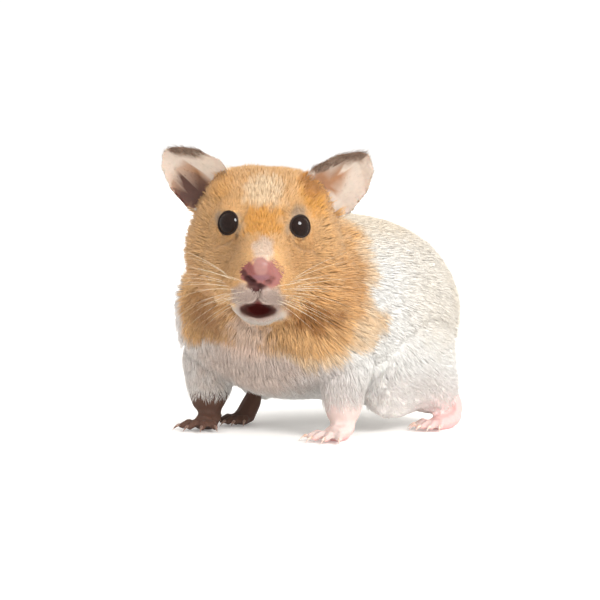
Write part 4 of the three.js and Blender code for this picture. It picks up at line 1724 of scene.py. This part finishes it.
@dataclass
class Coat:
    """All the fur, as thin solid tufts of ten faces each."""

    skin: bpy.types.Object
    label: np.ndarray
    markings: Markings
    seed: int = 11
    clump_of: int = 14
    clump_spread: tuple[float, float] = (0.5, 1.3)
    waist_pull: float = 0.35
    most_tufts: int = 19500
    bake_patch: float = 0.003
    lie: Lie = Lie()
    length_spread: tuple[float, float] = (0.8, 1.15)
    rim_longer: float = 0.8
    rise_spread: float = 0.17
    way_spread: float = 0.1
    rooted_mm: float = 0.12
    bend_at: float = 0.5
    bend_degrees: float = 10.0
    tip_rise: float = 0.9
    ground_mm: float = 0.15
    width_spread: tuple[float, float] = (0.75, 1.2)
    full_width_mm: float = 4.0
    width_range: tuple[float, float] = (0.65, 1.1)
    clump_shade: tuple[float, float] = (0.95, 0.08)
    tuft_shade: tuple[float, float] = (0.92, 1.07)
    regions: tuple[CoatRegion, ...] = (
        CoatRegion("coat_head", "golden_fur", ("head", "lower_jaw"), 10.4, 0.155, 0.8, 0.22),
        CoatRegion("coat_neck", "golden_fur", ("neck",), 9.8, 0.19, 0.8, 0.22),
        CoatRegion("coat_trunk", "white_fur", ("trunk", "tail"), 7.9, 0.17, 0.97, 0.14),
        CoatRegion("coat_legs", "white_fur", tuple(LEGS), 9.4, 0.165, 0.97, 0.12),
        CoatRegion("coat_ears", "ear_skin", tuple(EARS), 7.0, 0.12, 0.9, 0.1),
    )

    def build(self) -> list[bpy.types.Object]:
        """Makes every part of the coat."""
        surface = Surface(self.skin.data)
        triangles = surface.triangles()
        normals = surface.normals()
        pieces = []
        for index, region in enumerate(self.regions):
            dice = np.random.default_rng(self.seed + index)
            faces = triangles[on(self.label[triangles[:, 0]], list(region.nodes))]
            growth = self.sown(surface.points, faces, normals, region, dice)
            pieces += self.grown(growth, Unwrap(surface.points, faces), region, dice)
        return pieces

    def sown(
        self,
        points: np.ndarray,
        faces: np.ndarray,
        normals: np.ndarray,
        region: CoatRegion,
        dice: np.random.Generator,
    ) -> Growth:
        """Scatters the roots of one region evenly over its skin.

        Args:
            points: The skin's vertices.
            faces: The region's faces.
            normals: The skin's vertex normals.
            region: The part of the coat.
            dice: Source of the scatter.

        Returns:
            The roots.
        """
        a, b, c = (points[faces[:, i]] for i in range(3))
        area = np.linalg.norm(np.cross(b - a, c - a), axis=1) / 2.0 / MM**2
        thickness = Thickness(self.markings.mouth, self.markings.rims)
        share = thickness.at((a + b + c) / 3.0, normals[faces[:, 0]], self.label[faces[:, 0]])
        wanted = area * region.density * share
        total = int(wanted.sum())
        chosen = np.sort(dice.choice(len(faces), total, p=wanted / wanted.sum()))
        u, v = dice.random(total), dice.random(total)
        flip = u + v > 1.0
        u, v = np.where(flip, 1 - u, u)[:, None], np.where(flip, 1 - v, v)[:, None]
        corner = faces[chosen]
        root = points[corner[:, 0]] * (1 - u - v) + points[corner[:, 1]] * u + points[corner[:, 2]] * v
        normal = normals[corner[:, 0]] * (1 - u - v) + normals[corner[:, 1]] * u + normals[corner[:, 2]] * v
        order = dice.permutation(total)
        return Growth(root[order], unit(normal)[order], self.label[corner[order, 0]])

    def grown(
        self, growth: Growth, unwrap: Unwrap, region: CoatRegion, dice: np.random.Generator
    ) -> list[bpy.types.Object]:
        """Turns the roots of a region into pieces of tufts.

        Args:
            growth: The roots.
            unwrap: The region's skin laid flat.
            region: The part of the coat.
            dice: Source of what varies from tuft to tuft.

        Returns:
            The pieces.
        """
        count = len(growth.root)
        flow = self.lie.at(growth.root, growth.normal, growth.label)
        length = fur_length_mm(growth.root, growth.label) * dice.uniform(*self.length_spread, count)
        rim = self.markings.rims.nearness(HEAD.local_mm(growth.root), on(growth.label, EARS))
        length = length * (1.0 + self.rim_longer * rim)
        rise = (fur_rise(growth.label) * dice.normal(1.0, self.rise_spread, count))[:, None]
        aside = np.cross(growth.normal, flow) * dice.normal(0.0, self.way_spread, count)[:, None]
        flow = unit(flow + aside)
        span = length[:, None] * MM
        root = growth.root - growth.normal * self.rooted_mm * MM
        bend = rise + math.radians(self.bend_degrees)
        middle = root + self.bend_at * span * (flow * np.cos(bend) + growth.normal * np.sin(bend))
        end = rise * self.tip_rise
        tip = root + span * (flow * np.cos(end) + growth.normal * np.sin(end))
        middle, tip, clump = self.clumped(root, middle, tip, region.pull, dice)
        ground = self.ground_mm * MM
        middle[:, 2] = np.maximum(middle[:, 2], ground)
        tip[:, 2] = np.maximum(tip[:, 2], ground)
        fullness = np.clip(length / self.full_width_mm, *self.width_range)
        wide = region.width_mm * MM * dice.uniform(*self.width_spread, count) * fullness
        even, uneven = self.clump_shade
        looks = {
            "marking": self.markings.tufts(growth, middle),
            "shade": (even + uneven * clump) * dice.uniform(*self.tuft_shade, count),
            "flat": unwrap.at(growth.root),
        }
        finish = FurFinish(region.name + "_fur", region.root_shade).material()
        pieces = []
        chunks = max(1, math.ceil(count / self.most_tufts))
        for part in range(chunks):
            rows = slice(part * count // chunks, (part + 1) * count // chunks)
            mesh = tuft_mesh(root[rows], middle[rows], tip[rows], growth.normal[rows], wide[rows])
            self.marked(mesh, {name: values[rows] for name, values in looks.items()})
            mesh.name = f"{region.name}_{part + 1}" if chunks > 1 else region.name
            piece = placed(mesh.name, mesh)
            mesh.materials.append(finish)
            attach(piece, ROOT)
            pieces.append(piece)
        return pieces

    def marked(self, mesh: bpy.types.Mesh, looks: dict[str, np.ndarray]) -> None:
        """Stores the looks of each tuft on its seven vertices, and its patch in the bake map.

        Args:
            mesh: The tufts.
            looks: One row a tuft of "marking", "shade" and "flat".
        """
        count = len(looks["shade"])
        attribute(mesh, "marking", np.repeat(looks["marking"], TUFT_POINTS, 0))
        attribute(mesh, "shade", np.repeat(looks["shade"], TUFT_POINTS))
        along, aside = np.array(TUFT_ALONG), np.array(TUFT_ASIDE)
        attribute(mesh, "along", np.tile(along, count))
        patch = np.stack([along - 0.5, aside - 0.5], 1) * self.bake_patch
        flat = np.repeat(looks["flat"], TUFT_POINTS, 0) + np.tile(patch, (count, 1))
        corner = column_array(mesh.loops, "vertex_index", 1, np.int32)[:, 0]
        layer = mesh.uv_layers.new(name=BAKE_MAP)
        layer.data.foreach_set("uv", flat[corner].astype(np.float32).ravel())

    def clumped(
        self, root: np.ndarray, middle: np.ndarray, tip: np.ndarray, pull: float, dice: np.random.Generator
    ) -> tuple[np.ndarray, np.ndarray, np.ndarray]:
        """Draws neighbouring tufts together towards their tips.

        Args:
            root: Roots.
            middle: Middles.
            tip: Tips.
            pull: How far, as a share of the way to the middle tuft of the clump.
            dice: Source of the clumps' shades.

        Returns:
            New middles, new tips, and one value from 0 to 1 a tuft that its clump shares.
        """
        chosen = range(0, len(root), self.clump_of)
        tree = KDTree(len(chosen))
        for index in chosen:
            tree.insert(root[index], index)
        tree.balance()
        owner = np.array([tree.find(p)[1] for p in root.tolist()])
        share = pull * dice.uniform(*self.clump_spread, len(root))[:, None]
        tip = tip + (tip[owner] - tip) * share
        middle = middle + (middle[owner] - middle) * share * self.waist_pull
        return middle, tip, dice.random(len(root))[owner]


def tuft_mesh(
    root: np.ndarray, middle: np.ndarray, tip: np.ndarray, normal: np.ndarray, wide: np.ndarray
) -> bpy.types.Mesh:
    """One mesh of many closed, three-sided, tapering tufts.

    Args:
        root: Middle of each base.
        middle: Middle of each bend.
        tip: Each point.
        normal: Skin normal at each root.
        wide: Width of each base in metres.

    Returns:
        The mesh, seven vertices and ten faces a tuft.
    """
    count = len(root)
    along = unit(tip - root)
    across = unit(np.cross(along, normal))
    out = np.cross(across, along)
    corners = []
    for place, share in ((root, 1.0), (middle, TUFT_WAIST)):
        half = 0.5 * share * wide[:, None]
        corners += [place - across * half, place + across * half, place + out * half * TUFT_FLATNESS]
    points = np.stack(corners + [tip], 1).reshape(-1, 3)
    corner = (np.array(TUFT_FACES)[None] + TUFT_POINTS * np.arange(count)[:, None, None]).reshape(-1)
    mesh = bpy.data.meshes.new("tufts")
    mesh.vertices.add(len(points))
    mesh.vertices.foreach_set("co", points.astype(np.float32).ravel())
    mesh.loops.add(len(corner))
    mesh.loops.foreach_set("vertex_index", corner.astype(np.int32))
    mesh.polygons.add(len(corner) // 3)
    mesh.polygons.foreach_set("loop_start", np.arange(0, len(corner), 3, dtype=np.int32))
    mesh.update(calc_edges=True)
    return smooth_shaded(mesh)


# ---------------------------------------------------------------- stage, light and camera


@dataclass(frozen=True)
class Lamp:
    """A soft sun, placed by the camera's right, up and backward directions."""

    name: str
    place: tuple[float, float, float]
    strength: float
    spread: float
    in_gloss: bool


@dataclass
class Studio:
    """A pale floor, soft light and the camera."""

    azimuth: float = 38.0
    elevation: float = 4.5
    distance: float = 0.5
    look_at_mm: tuple[float, float, float] = (13.44, -24.42, 35.0)
    focal_px: float = 2050.0
    frame_px: float = 600.0
    sensor_mm: float = 36.0
    surround_tint: tuple[float, float, float, float] = (1.0, 0.99, 0.975, 1.0)
    surround_light: float = 1.0
    surround_gloss: float = 0.3
    backdrop: float = 1.05
    floor_radius: float = 3.0
    floor_sides: int = 96
    floor_grain: float = 40.0
    floor_tints: tuple[str, str] = ("f4f2ef", "f7f6f4")
    floor_glow: tuple[float, float, float, float] = (1.0, 0.98, 0.96, 1.0)
    lamps: tuple[Lamp, ...] = (
        Lamp("key", (0.5, 0.5, 0.7), 2.3, 26.0, True),
        Lamp("top", (0.2, 0.9, -0.2), 0.8, 50.0, False),
    )

    def build(self) -> None:
        """Makes camera, floor, lights and surroundings."""
        self.camera()
        self.floor()
        self.lights()
        scene = bpy.context.scene
        scene.view_settings.view_transform = "Standard"
        world = bpy.data.worlds.new("studio")
        scene.world = world
        world.use_nodes = True
        tree = world.node_tree
        surroundings = tree.nodes["Background"]
        surroundings.inputs[0].default_value = self.surround_tint
        rays = tree.nodes.new("ShaderNodeLightPath").outputs
        light = self.switched(tree, rays["Is Glossy Ray"], self.surround_light, self.surround_gloss)
        light = self.switched(tree, rays["Is Camera Ray"], light, self.backdrop)
        tree.links.new(light, surroundings.inputs[1])

    @staticmethod
    def switched(
        tree: bpy.types.NodeTree, test: bpy.types.NodeSocket, low: object, high: float
    ) -> bpy.types.NodeSocket:
        """A socket that is high where test is 1 and low, a number or a socket, where it is 0."""
        choice = tree.nodes.new("ShaderNodeMapRange")
        value, _, _, to_low, to_high = choice.inputs[:5]
        if isinstance(low, bpy.types.NodeSocket):
            tree.links.new(low, to_low)
        else:
            to_low.default_value = low
        to_high.default_value = high
        tree.links.new(test, value)
        return choice.outputs[0]

    def basis(self) -> tuple[Vector, Vector, Vector]:
        """The camera's right, up and backward directions."""
        azimuth, elevation = math.radians(self.azimuth), math.radians(self.elevation)
        flat = math.cos(elevation)
        back = Vector((math.sin(azimuth) * flat, -math.cos(azimuth) * flat, math.sin(elevation)))
        right = Vector((0, 0, 1)).cross(back).normalized()
        return right, back.cross(right), back

    def camera(self) -> None:
        """Sets the camera on the head, low and from the animal's left front."""
        right, up, back = self.basis()
        lens = bpy.data.cameras.new("camera")
        lens.sensor_width = self.sensor_mm
        lens.lens = self.focal_px / self.frame_px * self.sensor_mm
        lens.clip_start = 0.01
        camera = bpy.data.objects.new("camera", lens)
        bpy.context.scene.collection.objects.link(camera)
        camera.location = Vector(self.look_at_mm) * MM + back * self.distance
        camera.rotation_euler = back.to_track_quat("Z", "Y").to_euler()
        bpy.context.scene.camera = camera

    def floor(self) -> None:
        """A wide pale floor."""
        disc = bmesh.new()
        bmesh.ops.create_circle(
            disc, cap_ends=True, segments=self.floor_sides, radius=self.floor_radius
        )
        mesh = bpy.data.meshes.new("floor")
        disc.to_mesh(mesh)
        disc.free()
        floor = placed("floor", mesh)
        sheet = NodeSheet("pale_floor")
        tone = sheet.mixed(sheet.blotches(self.floor_grain), *(colour(t) for t in self.floor_tints))
        sheet.join(tone, sheet.shader.inputs["Base Color"])
        sheet.constants(
            Roughness=0.85, Specular_IOR_Level=0.1, Emission_Color=self.floor_glow, Emission_Strength=0.2
        )
        mesh.materials.append(sheet.material)
        floor.visible_glossy = False

    def lights(self) -> None:
        """A soft key from the upper right and a broad light from above."""
        right, up, back = self.basis()
        for lamp in self.lamps:
            sun = bpy.data.lights.new(lamp.name, "SUN")
            sun.angle = math.radians(lamp.spread)
            sun.energy = lamp.strength
            piece = bpy.data.objects.new(lamp.name, sun)
            bpy.context.scene.collection.objects.link(piece)
            piece.location = right * lamp.place[0] + up * lamp.place[1] + back * lamp.place[2]
            piece.rotation_euler = piece.location.to_track_quat("Z", "Y").to_euler()
            piece.visible_glossy = lamp.in_gloss


# ---------------------------------------------------------------- putting it together


def report(piece: bpy.types.Object) -> None:
    """Logs a piece's name and its number of faces."""
    LOG.info("%s: %d faces", piece.name, len(piece.data.polygons))


def main() -> None:
    """Builds the camera, the skin, the eyes and the coat in turn."""
    logging.basicConfig(level=logging.INFO, format="%(name)s %(message)s")
    Studio().build()
    markings = Markings()
    skin = Skin(markings)
    body = skin.build()
    report(body)
    for piece in [*Eyes().build(), *Claws().build(), Whiskers(body).build()]:
        report(piece)
    for piece in Coat(body, skin.label, markings).build():
        report(piece)


if __name__ == "__main__":
    main()
